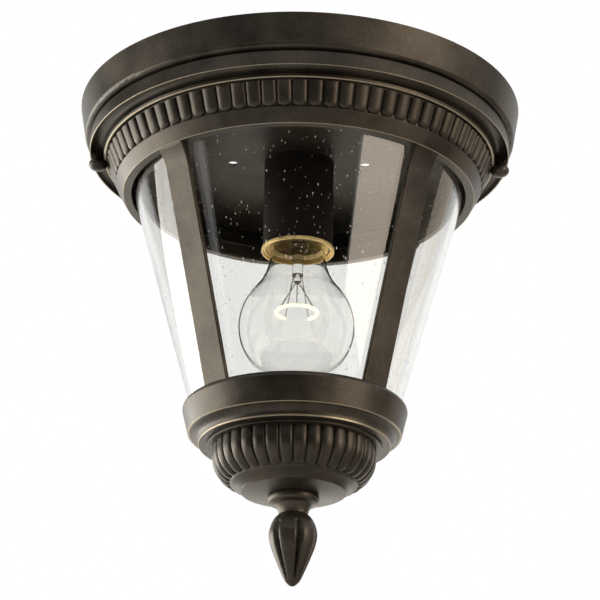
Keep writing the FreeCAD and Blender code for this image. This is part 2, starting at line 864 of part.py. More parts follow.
def fluted_cup():
    """Bowl with a spigot that centres it in the lower band, flutes round it and a disc for the finial."""
    sections = [scalloped(cup_flute_radius, cup_neck_z, cup_flute_count, cup_flute_depth)]
    for step in range(cup_flute_steps + 1):
        radius, z = cup_side(cup_round, cup_flute_end * step / cup_flute_steps)
        depth = cup_flute_depth if step < cup_flute_steps else cup_flute_depth * cup_flute_runout
        sections.append(scalloped(radius, z, cup_flute_count, depth))
    bowl = Part.makeLoft(sections, True, True)
    side_end = cup_side(cup_round, cup_flute_end)
    inner_round = cup_round - cup_flute_depth - cup_wall
    inner_mid = cup_side(inner_round, cup_flute_end / 2)
    inner_end = cup_side(inner_round, cup_flute_end)
    ogee_radius = cup_disc_radius + (side_end[0] - cup_disc_radius) * cup_ogee_share
    ogee_z = disc_z + (side_end[1] - disc_z) * (cup_ogee_share - cup_ogee_sink)
    spigot = cup_hole_radius - spigot_clearance
    neck = turned(
        (0, lower_lip_z),
        (cup_neck_radius, lower_lip_z),
        (cup_neck_radius, cup_neck_z),
        (0, cup_neck_z),
    )
    foot = turned(
        (0, side_end[1]),
        (side_end[0], side_end[1]),
        [(ogee_radius, ogee_z), (cup_disc_radius, disc_z)],
        (finial_base_radius, finial_z),
        (0, finial_z),
    )
    hollow = turned(
        (0, lower_lip_z),
        (spigot - cup_wall, lower_lip_z),
        (cup_centre_radius + inner_round, cup_centre_z),
        (inner_mid, inner_end),
        (cup_disc_radius - cup_wall, disc_z + cup_wall),
        (0, disc_z + cup_wall),
    )
    cup = neck.fuse(bowl).fuse(foot).cut(hollow)
    cup = cup.fuse(tube(spigot, spigot - cup_wall, lower_lip_z, lower_lip_z + spigot_height))
    return upright(cup.cut(cylinder(stud_radius + stud_clearance, finial_z, disc_z + cup_wall)))


def cup_crossbar():
    """Flat bar on the lower band's ledge; the finial's stud hangs from it."""
    length = 2 * (ledge_wall_radius - crossbar_end_clearance)
    corner = FreeCAD.Vector(-length / 2, -crossbar_width / 2, ledge_z)
    bar_block = Part.makeBox(length, crossbar_width, crossbar_thickness, corner)
    rounded = bar_block.common(cylinder(ledge_wall_radius - crossbar_end_clearance, ledge_z, crossbar_top_z))
    return upright(rounded.cut(cylinder(stud_radius + stud_clearance, ledge_z, crossbar_top_z)))


def finial_stud():
    return cylinder(stud_radius, finial_z - stud_grip, stud_top_z)


def stud_washer():
    return tube(washer_radius, stud_radius + stud_clearance, crossbar_top_z, stud_nut_z)


def stud_nut():
    return hexagon(nut_flats, stud_nut_z, stud_nut_z + nut_height, stud_radius)


def finial():
    """Turned base and neck with a bud of six leaves, shaped below its own top and then hung at its level."""
    base_z = -finial_base_height
    neck_z = -finial_neck_drop
    bud_z = -finial_bud_drop
    tip_z = -finial_length
    bead = finial_base_height * finial_bead_share
    bead_mid = (finial_base_radius + bead / 4, base_z / 2)
    throat = finial_base_radius - finial_throat_inset
    throat_z = base_z - bead / 2
    neck_mid = ((2 * finial_neck_radius + throat) / 3, (neck_z + throat_z) / 2)
    swell = [
        (finial_bud_radius * width, neck_z - (neck_z - bud_z) * share) for width, share in finial_swell
    ]
    taper = [
        (finial_bud_radius * width, bud_z - (bud_z - tip_z) * share) for width, share in finial_taper
    ]
    body = turned(
        (0, 0),
        (finial_base_radius, 0),
        (bead_mid, (finial_base_radius - bead / 2, base_z)),
        (throat, throat_z),
        (neck_mid, (finial_neck_radius, neck_z)),
        swell + taper + [(finial_tip_radius, tip_z)],
        (0, tip_z),
    )
    top_z = swell[0][1]
    sunk = [(radius - finial_groove_depth, z) for radius, z in [swell[-1]] + taper]
    groove = slab(
        (swell[0][0] - finial_groove_depth, top_z),
        (
            sunk + [(finial_tip_radius, tip_z)],
            (2 * finial_bud_radius, tip_z),
            (2 * finial_bud_radius, top_z),
        ),
        finial_groove_width,
    )
    for cutter in around(groove, finial_leaf_count, finial_leaf_turn):
        body = body.cut(cutter)
    body.translate(FreeCAD.Vector(0, 0, finial_z))
    return upright(body.cut(cylinder(stud_radius, finial_z - stud_grip, finial_z)))


# ---- thumb screws ----
def thumb_screw(x):
    """Flattened ball and its threaded shank."""
    ball = Part.makeSphere(thumb_ball_radius)
    squash = FreeCAD.Matrix()
    squash.scale(1, 1, thumb_ball_half_height / thumb_ball_radius)
    ball = ball.transformGeometry(squash)
    ball.translate(FreeCAD.Vector(x, 0, thumb_ball_z))
    ball = ball.cut(cylinder(thumb_ball_radius, thumb_sleeve_z, outer_lip_z, x))
    return upright(ball.fuse(cylinder(thumb_shank_radius, thumb_ball_z, thumb_top_z, x)))


def thumb_sleeve(x):
    bore = thumb_shank_radius + thumb_thread_clearance
    return tube(thumb_sleeve_radius, bore, thumb_sleeve_z, thumb_seat_z, x)


NODES = {
    "ceiling_pan": ceiling_pan(),
    "pan_seal": pan_seal(),
    "thumb_screw_nuts": thumb_screw_nuts(),
    "socket_sleeve": socket_sleeve(),
    "socket_rim": socket_rim(),
    "socket_screw_shell": socket_screw_shell(),
    "socket_body": socket_body(),
    "socket_contact": socket_contact(),
    "socket_cap": socket_cap(),
    "socket_nipple": socket_nipple(),
    "nipple_washer": nipple_washer(),
    "nipple_locknut": nipple_locknut(),
    "nipple_bushing": nipple_bushing(),
    "bulb_glass": bulb_glass(),
    "bulb_base_shell": bulb_base_shell(),
    "bulb_insulator": bulb_insulator(),
    "bulb_tip_contact": bulb_tip_contact(),
    "bulb_stem": bulb_stem(),
    "bulb_filament": bulb_filament(),
    "bulb_lead_wires": bulb_lead_wires(),
    "bulb_supports": bulb_supports(),
    "cage_frame": cage_frame(),
    "glass_shade": glass_shade(),
    "glass_cushion": glass_cushion(),
    "glass_clips": glass_clips(),
    "glass_clip_screws": glass_clip_screws(),
    "fluted_cup": fluted_cup(),
    "cup_crossbar": cup_crossbar(),
    "finial": finial(),
    "finial_stud": finial_stud(),
    "stud_washer": stud_washer(),
    "stud_nut": stud_nut(),
    "left_thumb_screw": thumb_screw(-thumb_radius),
    "left_thumb_sleeve": thumb_sleeve(-thumb_radius),
    "right_thumb_screw": thumb_screw(thumb_radius),
    "right_thumb_sleeve": thumb_sleeve(thumb_radius),
}

for name, shape in NODES.items():
    shape.exportStep("parts/" + name + ".step")
    box = shape.BoundBox
    print(name, "solids", len(shape.Solids), "valid", shape.isValid(), "volume", round(shape.Volume, 1))
    for axis, low, high in (("x", box.XMin, box.XMax), ("y", box.YMin, box.YMax), ("z", box.ZMin, box.ZMax)):
        print("   ", axis, round(low, 1), round(high, 1))
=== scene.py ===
"""Looks of the porch ceiling lantern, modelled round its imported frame.

Sizes are in millimetres where they are written down and in metres once they are properties. Profiles are
lists of (radius, level) pairs in the XZ plane. The frame's origin is the centre of the pan's rim at the
ceiling.
"""

import cmath
import math

import bpy
from mathutils import Matrix, Vector


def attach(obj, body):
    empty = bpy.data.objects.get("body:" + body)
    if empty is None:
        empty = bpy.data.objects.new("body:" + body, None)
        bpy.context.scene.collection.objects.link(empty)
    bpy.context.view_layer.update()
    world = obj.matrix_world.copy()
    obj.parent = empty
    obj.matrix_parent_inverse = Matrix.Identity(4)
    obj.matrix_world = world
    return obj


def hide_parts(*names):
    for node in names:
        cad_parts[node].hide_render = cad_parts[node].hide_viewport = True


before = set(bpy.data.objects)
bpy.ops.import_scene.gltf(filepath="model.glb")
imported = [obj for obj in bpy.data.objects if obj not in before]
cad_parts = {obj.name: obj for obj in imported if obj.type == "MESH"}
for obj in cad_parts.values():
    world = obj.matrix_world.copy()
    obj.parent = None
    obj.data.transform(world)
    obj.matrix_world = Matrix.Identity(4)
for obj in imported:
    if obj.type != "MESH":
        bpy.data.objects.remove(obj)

bl_info = {
    "name": "Porch ceiling lantern",
    "version": (1, 0, 0),
    "blender": (4, 5, 0),
    "location": "3D View > Sidebar > Lantern",
    "description": "Models the cage, glass, cup, finial and bulb of a porch lantern and paints its frame",
    "category": "Add Mesh",
}

MM = 0.001
FULL_TURN = 2 * math.pi
QUARTER_TURN = math.pi / 2

# outline of the bud: its radius as a share of the widest, and how far along the way that is
SWELL = ((0.80, 0.25), (0.92, 0.55), (1.0, 1.0))  # from its neck to its girth
TAPER = ((0.93, 0.2), (0.76, 0.42), (0.5, 0.71), (0.3, 0.9))  # from its girth to its tip


# ---- properties ----
def linear(code):
    """An sRGB hex colour as linear red, green and blue."""
    parts = [int(code[k:k + 2], 16) / 255 for k in (1, 3, 5)]
    return tuple(part / 12.92 if part <= 0.04045 else ((part + 0.055) / 1.055) ** 2.4 for part in parts)


def length(label, what, millimetres):
    return bpy.props.FloatProperty(
        name=label, description=what, default=millimetres * MM, unit="LENGTH", precision=5
    )


def colour(label, what, code):
    return bpy.props.FloatVectorProperty(
        name=label, description=what, default=linear(code), subtype="COLOR", size=3, min=0.0, max=1.0
    )


def count(label, what, number):
    return bpy.props.IntProperty(name=label, description=what, default=number, min=3)


def turn(label, what, degrees):
    return bpy.props.FloatProperty(
        name=label, description=what, default=math.radians(degrees), unit="ROTATION", subtype="ANGLE"
    )


class CollarSizes(bpy.types.PropertyGroup):
    """Head of the cage casting: lips, cove, ribbed cone and plain band."""

    top: length("Top", "Level of the face against the seal", -18.1)
    radius: length("Radius", "Outer face", 110.5)
    bore: length("Bore", "Inside of the head", 100.5)
    lip_level: length("Outer lip", "Level of the outer lip's edge", -25.7)
    lip_width: length("Outer lip width", "Across the rounded lip", 0.8)
    crown_level: length("Cove crown", "Highest level of the cove", -22.1)
    cove_width: length("Cove width", "Between the two lips", 6.9)
    inner_level: length("Inner lip", "Level of the inner lip's edge", -28.6)
    inner_width: length("Inner lip width", "Across the inner lip", 1.4)
    rib_level: length("Rib end", "Level where the ribs run out", -41.0)
    rib_inset: length("Cone inset", "How far the ribbed cone draws in", 5.3)
    rib_depth: length("Rib depth", "Crest above valley", 1.7)
    rib_count: count("Ribs", "Ribs round the collar", 80)
    rib_turn: turn("Rib turn", "Angle of the first rib from +X", 0.0)
    band_radius: length("Band radius", "Upper edge of the plain band", 96.1)
    mouth_radius: length("Mouth radius", "Lower edge of the plain band", 92.0)
    mouth_bore: length("Mouth bore", "Inside of the mouth", 87.6)
    mouth_level: length("Mouth", "Level of the windows' top edge", -48.4)
    wall: length("Wall", "Thickness of the casting", 2.3)


class CageSizes(bpy.types.PropertyGroup):
    """Bars and lower band of the cage casting."""

    bar_width: length("Bar width", "Across the flat face", 16.0)
    bar_thickness: length("Bar thickness", "Radial thickness", 2.5)
    bar_turn: turn("Bar turn", "Angle of the first bar from +X", 45.0)
    bar_flare: length("Bar flare", "Height of the curve into the mouth", 10.0)
    bar_edge: length("Bar edge", "Rounding of the bars' edges", 0.7)
    band_level: length("Band top", "Level of the windows' lower edge", -163.9)
    band_radius: length("Band radius", "Widest part of the lower band", 57.0)
    band_round: length("Band rounding", "Height of the rounded shoulder", 3.1)
    edge_radius: length("Edge radius", "Lower edge of the tapered face", 54.0)
    edge_level: length("Edge", "Level of that edge", -179.2)
    lip_radius: length("Lip radius", "Lip under the lower cove", 48.2)
    lip_level: length("Lip", "Level of that lip", -184.7)
    hole_radius: length("Hole radius", "Hole that the cup's spigot fits", 43.1)
    ledge_radius: length("Ledge wall", "Wall round the crossbar's ledge", 47.5)
    ledge_level: length("Ledge", "Level of the ledge", -181.8)
    seat_radius: length("Seat radius", "Inner edge of the glass seat", 50.3)
    seat_level: length("Seat", "Level under the glass cushion", -167.8)


class GlassSizes(bpy.types.PropertyGroup):
    """Seeded glass cone."""

    top: length("Top", "Upper rim", -39.8)
    bottom: length("Bottom", "Lower rim", -167.0)
    mouth_radius: length("Mouth radius", "Outer radius at the collar's mouth", 86.0)
    bottom_radius: length("Bottom radius", "Outer radius at the lower rim", 52.4)
    wall: length("Wall", "Thickness", 3.0)
    fit: length("Fit", "Gap to the metal round it", 0.3)
    rim_round: length("Rim rounding", "Fire-polished rim", 0.8)
    tint: colour("Tint", "Colour of the glass body", "#FDFDFC")


class CupSizes(bpy.types.PropertyGroup):
    """Fluted cup under the lower band."""

    neck_radius: length("Neck radius", "Plain neck under the lip", 44.3)
    neck_level: length("Neck", "Lower edge of the neck", -186.1)
    top: length("Spigot top", "Top of the spigot in the band", -182.5)
    spigot: length("Spigot radius", "Outer radius of the spigot", 42.8)
    wall: length("Wall", "Thickness", 2.4)
    centre_radius: length("Round centre", "Radius of the bowl's arc centre", 25.6)
    centre_level: length("Round level", "Level of the bowl's arc centre", -190.7)
    round: length("Round", "Radius of the bowl's arc, to the crests", 15.8)
    rib_width: length("Rib width", "Across a rib under the neck", 6.7)
    rib_depth: length("Rib depth", "Crest above the bowl", 1.6)
    rib_count: count("Ribs", "Ribs round the cup", 36)
    rib_turn: turn("Rib turn", "Angle of the first rib from +X", 4.0)
    rib_sweep: turn("Rib sweep", "How far round the bowl a rib runs", 57.0)
    disc_radius: length("Disc radius", "Edge of the disc", 26.4)
    disc_level: length("Disc", "Level of the disc's edge", -209.1)
    foot_level: length("Foot", "Level under the disc's middle", -210.7)


class FinialSizes(bpy.types.PropertyGroup):
    """Bud finial."""

    base_radius: length("Base radius", "Round base against the disc", 12.7)
    base_height: length("Base height", "Height of the base", 4.0)
    throat: length("Throat radius", "Step under the base", 9.6)
    neck_radius: length("Neck radius", "Narrowest part", 7.3)
    neck_drop: length("Neck drop", "Neck below the disc", 9.6)
    bud_radius: length("Bud radius", "Widest part of the bud", 12.1)
    bud_drop: length("Bud drop", "Bud's widest part below the disc", 20.0)
    length: length("Length", "Disc to tip", 46.3)
    leaf_count: count("Leaves", "Leaves round the bud", 6)
    leaf_turn: turn("Leaf turn", "Angle of the first groove from +X", -74.5)
    groove: length("Groove", "Depth of the grooves between leaves", 2.0)


class BulbSizes(bpy.types.PropertyGroup):
    """Clear bulb, its coil and the shells of bulb and socket."""

    radius: length("Radius", "Globe", 30.0)
    centre: length("Centre", "Level of the globe's centre", -120.0)
    shoulder: turn("Shoulder", "Where neck and globe meet, above the widest line", 41.8)
    neck_radius: length("Neck radius", "Neck under the base", 14.3)
    neck_level: length("Neck", "Level of the neck's full width", -76.8)
    throat_radius: length("Throat radius", "Glass inside the base shell", 12.05)
    throat_top: length("Throat top", "Upper end of the glass", -66.0)
    shell_level: length("Shell", "Level of the shell's lower edge", -72.0)
    wall: length("Wall", "Thickness of the glass", 0.7)
    thread_radius: length("Thread radius", "Crests of the rolled thread", 13.05)
    thread_depth: length("Thread depth", "Crest above root", 0.6)
    pitch: length("Thread pitch", "Rise of the thread in one turn", 3.629)
    shell_top: length("Shell top", "Upper end of the shell", -51.3)
    socket_radius: length("Socket shell", "Inside of the socket's shell", 13.5)
    socket_mouth: length("Socket mouth", "Lower edge of the socket's shell", -76.8)
    socket_top: length("Socket top", "Upper end of the socket's shell", -46.4)
    ring: length("Coil ring", "Radius of the ring the coil runs in", 10.5)
    coil_level: length("Coil level", "Level of the coil", -112.0)
    coil_radius: length("Coil radius", "Radius of the coil's turns", 0.85)
    coil_gap: turn("Coil gap", "Open part of the ring, at the back", 70.0)
    coil_turns: count("Coil turns", "Turns in the coil", 72)


class FinishColours(bpy.types.PropertyGroup):
    """Colours of the finishes."""

    bronze_dark: colour("Bronze, deep", "Deep tone of the bronze paint", "#2C2720")
    bronze_light: colour("Bronze, bloom", "Lighter tone of the bronze paint", "#49433A")
    # a lighter bronze laid along the lips' edges: a painted highlight, where the edges catch the light
    lip_highlight: colour("Lip highlight", "Lighter paint along the lips, a painted highlight", "#9A8F7A")
    phenolic: colour("Phenolic", "Moulded socket body", "#15110E")
    brass: colour("Brass", "Rolled shells and rim", "#E6CA8C")
    plated: colour("Zinc plate", "Plated steel hardware", "#A9A9A4")
    foam: colour("Foam", "Seal under the pan", "#15130F")
    rubber: colour("Rubber", "Cushion under the glass", "#1A1918")
    solder: colour("Solder", "Tip contact of the bulb", "#8E8C86")
    vitrite: colour("Vitrite", "Black glass of the bulb's base", "#0E0B12")
    tungsten: colour("Tungsten", "Coil and supports", "#D8CDB8")
    # emission colour of the coil: a painted glow, though the coil is no lamp
    glow: colour("Glow", "Painted glow on the coil", "#FFF2D2")
    floor: colour("Floor", "Studio floor", "#E9E8E5")
    flag: colour("Flag", "Dark cards behind the camera", "#1B1917")
    side_flag: colour("Side flag", "Cards at the sides", "#8E897F")


# ---- profiles ----
def arc(start, through, end, steps=8):
    """Points of a round arc, without its start."""
    first, middle, last = (complex(*point) for point in (start, through, end))
    ratio = (last - first) / (middle - first)
    centre = first + (middle - first) * (ratio - abs(ratio) ** 2) / (2j * ratio.imag)
    sweep = cmath.phase((last - centre) / (first - centre))
    part = cmath.phase((middle - centre) / (first - centre))
    if part * sweep < 0 or abs(part) > abs(sweep):
        sweep -= math.copysign(FULL_TURN, sweep)
    points = [centre + (first - centre) * cmath.exp(1j * sweep * k / steps) for k in range(1, steps + 1)]
    return [(point.real, point.imag) for point in points]


def flowing(points, steps=6):
    """Points of a smooth curve through the given ones, without the first."""
    padded = [points[0]] + list(points) + [points[-1]]
    curve = []
    for k in range(1, len(padded) - 2):
        before, here, there, after = (Vector(padded[k + j]) for j in (-1, 0, 1, 2))
        for step in range(1, steps + 1):
            t = step / steps
            spot = 0.5 * (
                2 * here
                + (there - before) * t
                + (2 * before - 5 * here + 4 * there - after) * t**2
                + (3 * here - before - 3 * there + after) * t**3
            )
            curve.append(tuple(spot))
    return curve


def rounded(corner, before, after, radius, steps=4):
    """Points that round a corner off between its neighbours."""
    corner, before, after = Vector(corner), Vector(before), Vector(after)
    back = (before - corner).normalized()
    on = (after - corner).normalized()
    half = back.angle(on) / 2
    reach = radius / math.tan(half)
    centre = corner + (back + on).normalized() * (radius / math.sin(half))
    start = corner + back * reach
    end = corner + on * reach
    through = centre + (corner - centre).normalized() * radius
    return [tuple(start)] + arc(tuple(start), tuple(through), tuple(end), steps)


# ---- modelling ----
def clear_selection():
    if bpy.context.object and bpy.context.object.mode != "OBJECT":
        bpy.ops.object.mode_set(mode="OBJECT")
    bpy.ops.object.select_all(action="DESELECT")


def traced(name, points):
    """A chain of edges through points in space, left selected in edit mode."""
    clear_selection()
    bpy.ops.mesh.primitive_plane_add(size=MM, location=(0, 0, 0))
    piece = bpy.context.object
    piece.name = name
    bpy.ops.object.mode_set(mode="EDIT")
    bpy.ops.mesh.merge(type="CENTER")
    here = Vector(points[0])
    bpy.ops.transform.translate(value=here)
    for point in points[1:]:
        there = Vector(point)
        bpy.ops.mesh.extrude_vertices_move(TRANSFORM_OT_translate={"value": there - here})
        here = there
    tidy_mesh(outwards=False)
    return piece


def tidy_mesh(outwards=True):
    bpy.ops.mesh.select_all(action="SELECT")
    bpy.ops.mesh.remove_doubles(threshold=0.002 * MM)
    if outwards:
        bpy.ops.mesh.normals_make_consistent(inside=False)


def spun(name, profile, steps):
    """A profile turned all the way round Z."""
    piece = traced(name, [(radius, 0, level) for radius, level in profile])
    bpy.ops.mesh.spin(steps=steps, angle=FULL_TURN, center=(0, 0, 0), axis=(0, 0, 1))
    tidy_mesh()
    bpy.ops.object.mode_set(mode="OBJECT")
    return piece


def copied_round(piece, number, first):
    """Turn a finished shape to its first place, then copy it evenly about Z in the same mesh."""
    piece.rotation_euler = (0, 0, first)
    bpy.ops.object.transform_apply(location=True, rotation=True, scale=True)
    bpy.ops.object.mode_set(mode="EDIT")
    bpy.ops.mesh.select_all(action="SELECT")
    bpy.ops.mesh.spin(
        steps=number - 1, dupli=True, angle=FULL_TURN * (number - 1) / number,
        center=(0, 0, 0), axis=(0, 0, 1)
    )
    bpy.ops.mesh.select_all(action="SELECT")
    bpy.ops.mesh.normals_make_consistent(inside=False)
    bpy.ops.object.mode_set(mode="OBJECT")


def pick(piece, kind, test):
    """Select the vertices or faces of a mesh in edit mode that pass a test of their place."""
    bpy.ops.mesh.select_all(action="DESELECT")
    bpy.ops.mesh.select_mode(type=kind)
    bpy.ops.object.mode_set(mode="OBJECT")
    if kind == "VERT":
        for vertex in piece.data.vertices:
            vertex.select = test(vertex.co)
    else:
        for face in piece.data.polygons:
            face.select = test(face.center)
    bpy.ops.object.mode_set(mode="EDIT")


def finish_piece(piece, body, material, nodes=(), angle=35.0):
    """Smooth it with its large faces leading, hand it to its body and give it its finish."""
    bpy.ops.object.shade_smooth_by_angle(angle=math.radians(angle))
    weighting = piece.modifiers.new("large_faces_lead", "WEIGHTED_NORMAL")
    weighting.mode = "FACE_AREA"
    weighting.weight = 80
    weighting.keep_sharp = True
    bpy.ops.object.modifier_apply(modifier=weighting.name)
    if nodes:
        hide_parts(*nodes)
    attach(piece, body)
    piece.data.materials.append(material)


def paint_highlight_faces(piece, material, test):
    """Give the faces that pass a test of their place a second material."""
    piece.data.materials.append(material)
    for face in piece.data.polygons:
        if test(face.center):
            face.material_index = 1


# ---- materials ----
def add(tree, kind, values=None, **settings):
    """Add a node with its settings, and set or link its inputs."""
    node = tree.nodes.new("ShaderNode" + kind)
    for name, value in settings.items():
        setattr(node, name, value)
    for socket, value in (values or {}).items():
        if isinstance(value, bpy.types.NodeSocket):
            tree.links.new(value, node.inputs[socket])
        else:
            node.inputs[socket].default_value = value
    return node


def material_named(name):
    """An empty node material and the Object coordinates it reads."""
    material = bpy.data.materials.get(name)
    if material:
        return material, None, None
    material = bpy.data.materials.new(name)
    material.use_nodes = True
    tree = material.node_tree
    tree.nodes.clear()
    return material, tree, add(tree, "TexCoord").outputs["Object"]


def surface(tree, shader):
    add(tree, "OutputMaterial", {"Surface": shader.outputs[0]})


def seen_by(tree, *rays):
    """1 for the kinds of ray that are named and 0 for the others."""
    path = add(tree, "LightPath")
    seen = path.outputs[rays[0]]
    for ray in rays[1:]:
        seen = add(tree, "Math", {0: seen, 1: path.outputs[ray]}, operation="MAXIMUM").outputs[0]
    return seen


def glazed(tree, glass, veil_tone):
    """Show a glass, and let lamp light through it as through a tinted veil, to light what is inside."""
    veil = add(tree, "BsdfTransparent", {"Color": veil_tone})
    surface(tree, add(tree, "MixShader", {
        0: seen_by(tree, "Is Shadow Ray"), 1: glass.outputs[0], 2: veil.outputs[0]}))


def opaque(rgb):
    return (*rgb, 1.0)


def per_size(millimetres):
    """Scale of a pattern whose features are this large."""
    return 1.0 / (millimetres * MM)


def bronze_paint(name="cast_metal_bronze_paint", lip_highlight=False):
    """Die-cast metal sprayed with bronze paint under a satin clear coat.

    Metal flake in a dark brown binder: mostly metallic, with a soft broad sheen, a faint cloudiness from
    the spray and the orange peel of a coat that was not flatted.
    """
    material, tree, place = material_named(name)
    if not tree:
        return material
    tones = bpy.context.scene.lantern_finish
    cloud = add(tree, "TexNoise", {"Vector": place, "Scale": per_size(26.0), "Detail": 4.0, "Roughness": 0.6})
    flake = add(tree, "TexNoise", {"Vector": place, "Scale": per_size(1.1), "Detail": 2.0})
    peel = add(tree, "TexNoise", {"Vector": place, "Scale": per_size(2.4), "Detail": 1.0})
    drift = add(tree, "MapRange", {"Value": cloud.outputs["Fac"], "From Min": 0.32, "From Max": 0.68})
    fleck = add(tree, "MapRange", {"Value": flake.outputs["Fac"], "From Min": 0.3, "From Max": 0.7,
                                   "To Min": 0.82, "To Max": 1.18})
    # on the lips one lighter tone is used: a painted highlight
    dark, light = (tones.lip_highlight, tones.lip_highlight) if lip_highlight else (tones.bronze_dark, tones.bronze_light)
    tone = add(tree, "Mix", {0: drift.outputs[0], 6: opaque(dark), 7: opaque(light)}, data_type="RGBA")
    tone = add(tree, "VectorMath", {0: tone.outputs[2], "Scale": fleck.outputs[0]}, operation="SCALE")
    gloss = add(tree, "MapRange", {"Value": cloud.outputs["Fac"], "From Min": 0.3, "From Max": 0.7,
                                   "To Min": 0.36, "To Max": 0.46})
    relief = add(tree, "Bump", {"Height": peel.outputs["Fac"], "Strength": 0.25, "Distance": 0.05 * MM})
    relief = add(tree, "Bump", {"Height": flake.outputs["Fac"], "Strength": 0.2, "Distance": 0.03 * MM,
                                "Normal": relief.outputs[0]})
    surface(tree, add(tree, "BsdfPrincipled", {
        "Base Color": tone.outputs[0], "Metallic": 0.72, "Roughness": gloss.outputs[0],
        "Normal": relief.outputs[0], "Coat Weight": 0.04, "Coat Roughness": 0.25}))
    return material


def lip_highlight_paint():
    """The same paint in one lighter tone on the lips: a painted highlight along the edges that catch the
    light.
    """
    return bronze_paint("bronze_lip_highlight", lip_highlight=True)


def seeded_glass():
    """Clear soda-lime glass blown with seeds, fine bubbles drawn out along the cone, in a gently uneven wall.

    The seeds scatter light, so they show as short pale dashes, clearest where something dark is behind them.
    """
    material, tree, place = material_named("seeded_soda_lime_glass")
    if not tree:
        return material
    tint = bpy.context.scene.lantern_glass.tint
    drawn = add(tree, "Mapping", {"Vector": place, "Scale": (1.0, 1.0, 0.34)})
    cells = add(tree, "TexVoronoi", {"Vector": drawn.outputs[0], "Scale": per_size(1.7)}, feature="F1")
    choice = add(tree, "TexWhiteNoise", {"Vector": cells.outputs["Position"]}, noise_dimensions="3D")
    size = add(tree, "MapRange", {"Value": choice.outputs["Value"], "From Min": 0.15, "To Max": 0.19})
    seed = add(tree, "MapRange", {"Value": cells.outputs["Distance"], "From Min": size.outputs[0],
                                  "From Max": 0.0, "To Max": 1.0})
    wave = add(tree, "TexNoise", {"Vector": drawn.outputs[0], "Scale": per_size(24.0), "Detail": 1.0})
    relief = add(tree, "Bump", {"Height": wave.outputs["Fac"], "Strength": 0.3, "Distance": 0.25 * MM})
    relief = add(tree, "Bump", {"Height": seed.outputs[0], "Strength": 0.8, "Distance": 0.2 * MM,
                                "Normal": relief.outputs[0]})
    glass = add(tree, "BsdfGlass", {"Color": opaque(tint), "Roughness": 0.0, "IOR": 1.5,
                                    "Normal": relief.outputs[0]})
    pale = add(tree, "BsdfDiffuse", {"Color": opaque(tint)})
    cloud = add(tree, "MapRange", {"Value": seed.outputs[0], "From Min": 0.1, "From Max": 0.6, "To Max": 0.6})
    seeded = add(tree, "MixShader", {0: cloud.outputs[0], 1: glass.outputs[0], 2: pale.outputs[0]})
    glazed(tree, seeded, opaque(tint))
    return material


def bulb_glass():
    """Thin clear bulb glass, machine blown: smooth, with bright rims and little else."""
    material, tree, place = material_named("clear_bulb_glass")
    if not tree:
        return material
    wave = add(tree, "TexNoise", {"Vector": place, "Scale": per_size(30.0), "Detail": 0.0})
    relief = add(tree, "Bump", {"Height": wave.outputs["Fac"], "Strength": 0.1, "Distance": 0.5 * MM})
    glass = add(tree, "BsdfGlass", {"Color": (1.0, 1.0, 0.995, 1.0), "Roughness": 0.0, "IOR": 1.5,
                                    "Normal": relief.outputs[0]})
    glazed(tree, glass, (0.97, 0.97, 0.97, 1.0))
    return material


def plain_metal(name, tone, roughness, grain, relief_height):
    """A bare or plated metal: a fine grain in its roughness and a little relief."""
    material, tree, place = material_named(name)
    if not tree:
        return material
    noise = add(tree, "TexNoise", {"Vector": place, "Scale": per_size(grain), "Detail": 3.0})
    shade = add(tree, "MapRange", {"Value": noise.outputs["Fac"], "From Min": 0.3, "From Max": 0.7,
                                   "To Min": 0.8, "To Max": 1.15})
    body = add(tree, "VectorMath", {0: tone, "Scale": shade.outputs[0]}, operation="SCALE")
    gloss = add(tree, "MapRange", {"Value": noise.outputs["Fac"], "From Min": 0.3, "From Max": 0.7,
                                   "To Min": roughness * 0.8, "To Max": roughness * 1.2})
    relief = add(tree, "Bump", {
        "Height": noise.outputs["Fac"], "Strength": 0.4, "Distance": relief_height * MM})
    surface(tree, add(tree, "BsdfPrincipled", {
        "Base Color": body.outputs[0], "Metallic": 1.0, "Roughness": gloss.outputs[0],
        "Normal": relief.outputs[0]}))
    return material


def moulded(name, tone, roughness, grain, relief_height, ior, mottle=0.28, shine=0.5):
    """A moulded or foamed non-metal: mottled by its filler, with a skin as rough as its mould."""
    material, tree, place = material_named(name)
    if not tree:
        return material
    noise = add(tree, "TexNoise", {"Vector": place, "Scale": per_size(grain), "Detail": 3.0})
    shade = add(tree, "MapRange", {"Value": noise.outputs["Fac"], "From Min": 0.3, "From Max": 0.7,
                                   "To Min": 1 - mottle, "To Max": 1 + mottle})
    body = add(tree, "VectorMath", {0: tone, "Scale": shade.outputs[0]}, operation="SCALE")
    relief = add(tree, "Bump", {
        "Height": noise.outputs["Fac"], "Strength": 0.5, "Distance": relief_height * MM})
    surface(tree, add(tree, "BsdfPrincipled", {
        "Base Color": body.outputs[0], "Roughness": roughness, "IOR": ior, "Specular IOR Level": shine,
        "Normal": relief.outputs[0]}))
    return material


def coil_with_painted_glow():
    """Drawn tungsten, coiled and pale, with a faint cream emission: a painted glow that stands in for the
    light the coil catches.
    """
    material, tree, place = material_named("drawn_tungsten_coil")
    if not tree:
        return material
    tones = bpy.context.scene.lantern_finish
    noise = add(tree, "TexNoise", {"Vector": place, "Scale": per_size(1.5), "Detail": 2.0})
    # the painted glow, stronger and weaker along the wire
    glow = add(tree, "MapRange", {"Value": noise.outputs["Fac"], "From Min": 0.3, "From Max": 0.7,
                                  "To Min": 0.9, "To Max": 1.5})
    surface(tree, add(tree, "BsdfPrincipled", {
        "Base Color": opaque(tones.tungsten), "Metallic": 1.0, "Roughness": 0.35,
        "Emission Color": opaque(tones.glow), "Emission Strength": glow.outputs[0]}))
    return material


def paint_nodes(material, *nodes):
    """Give carried-over frame nodes a finish."""
    for name in nodes:
        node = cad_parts[name]
        for slot in node.material_slots:
            slot.material = material
        if not node.material_slots:
            node.data.materials.append(material)


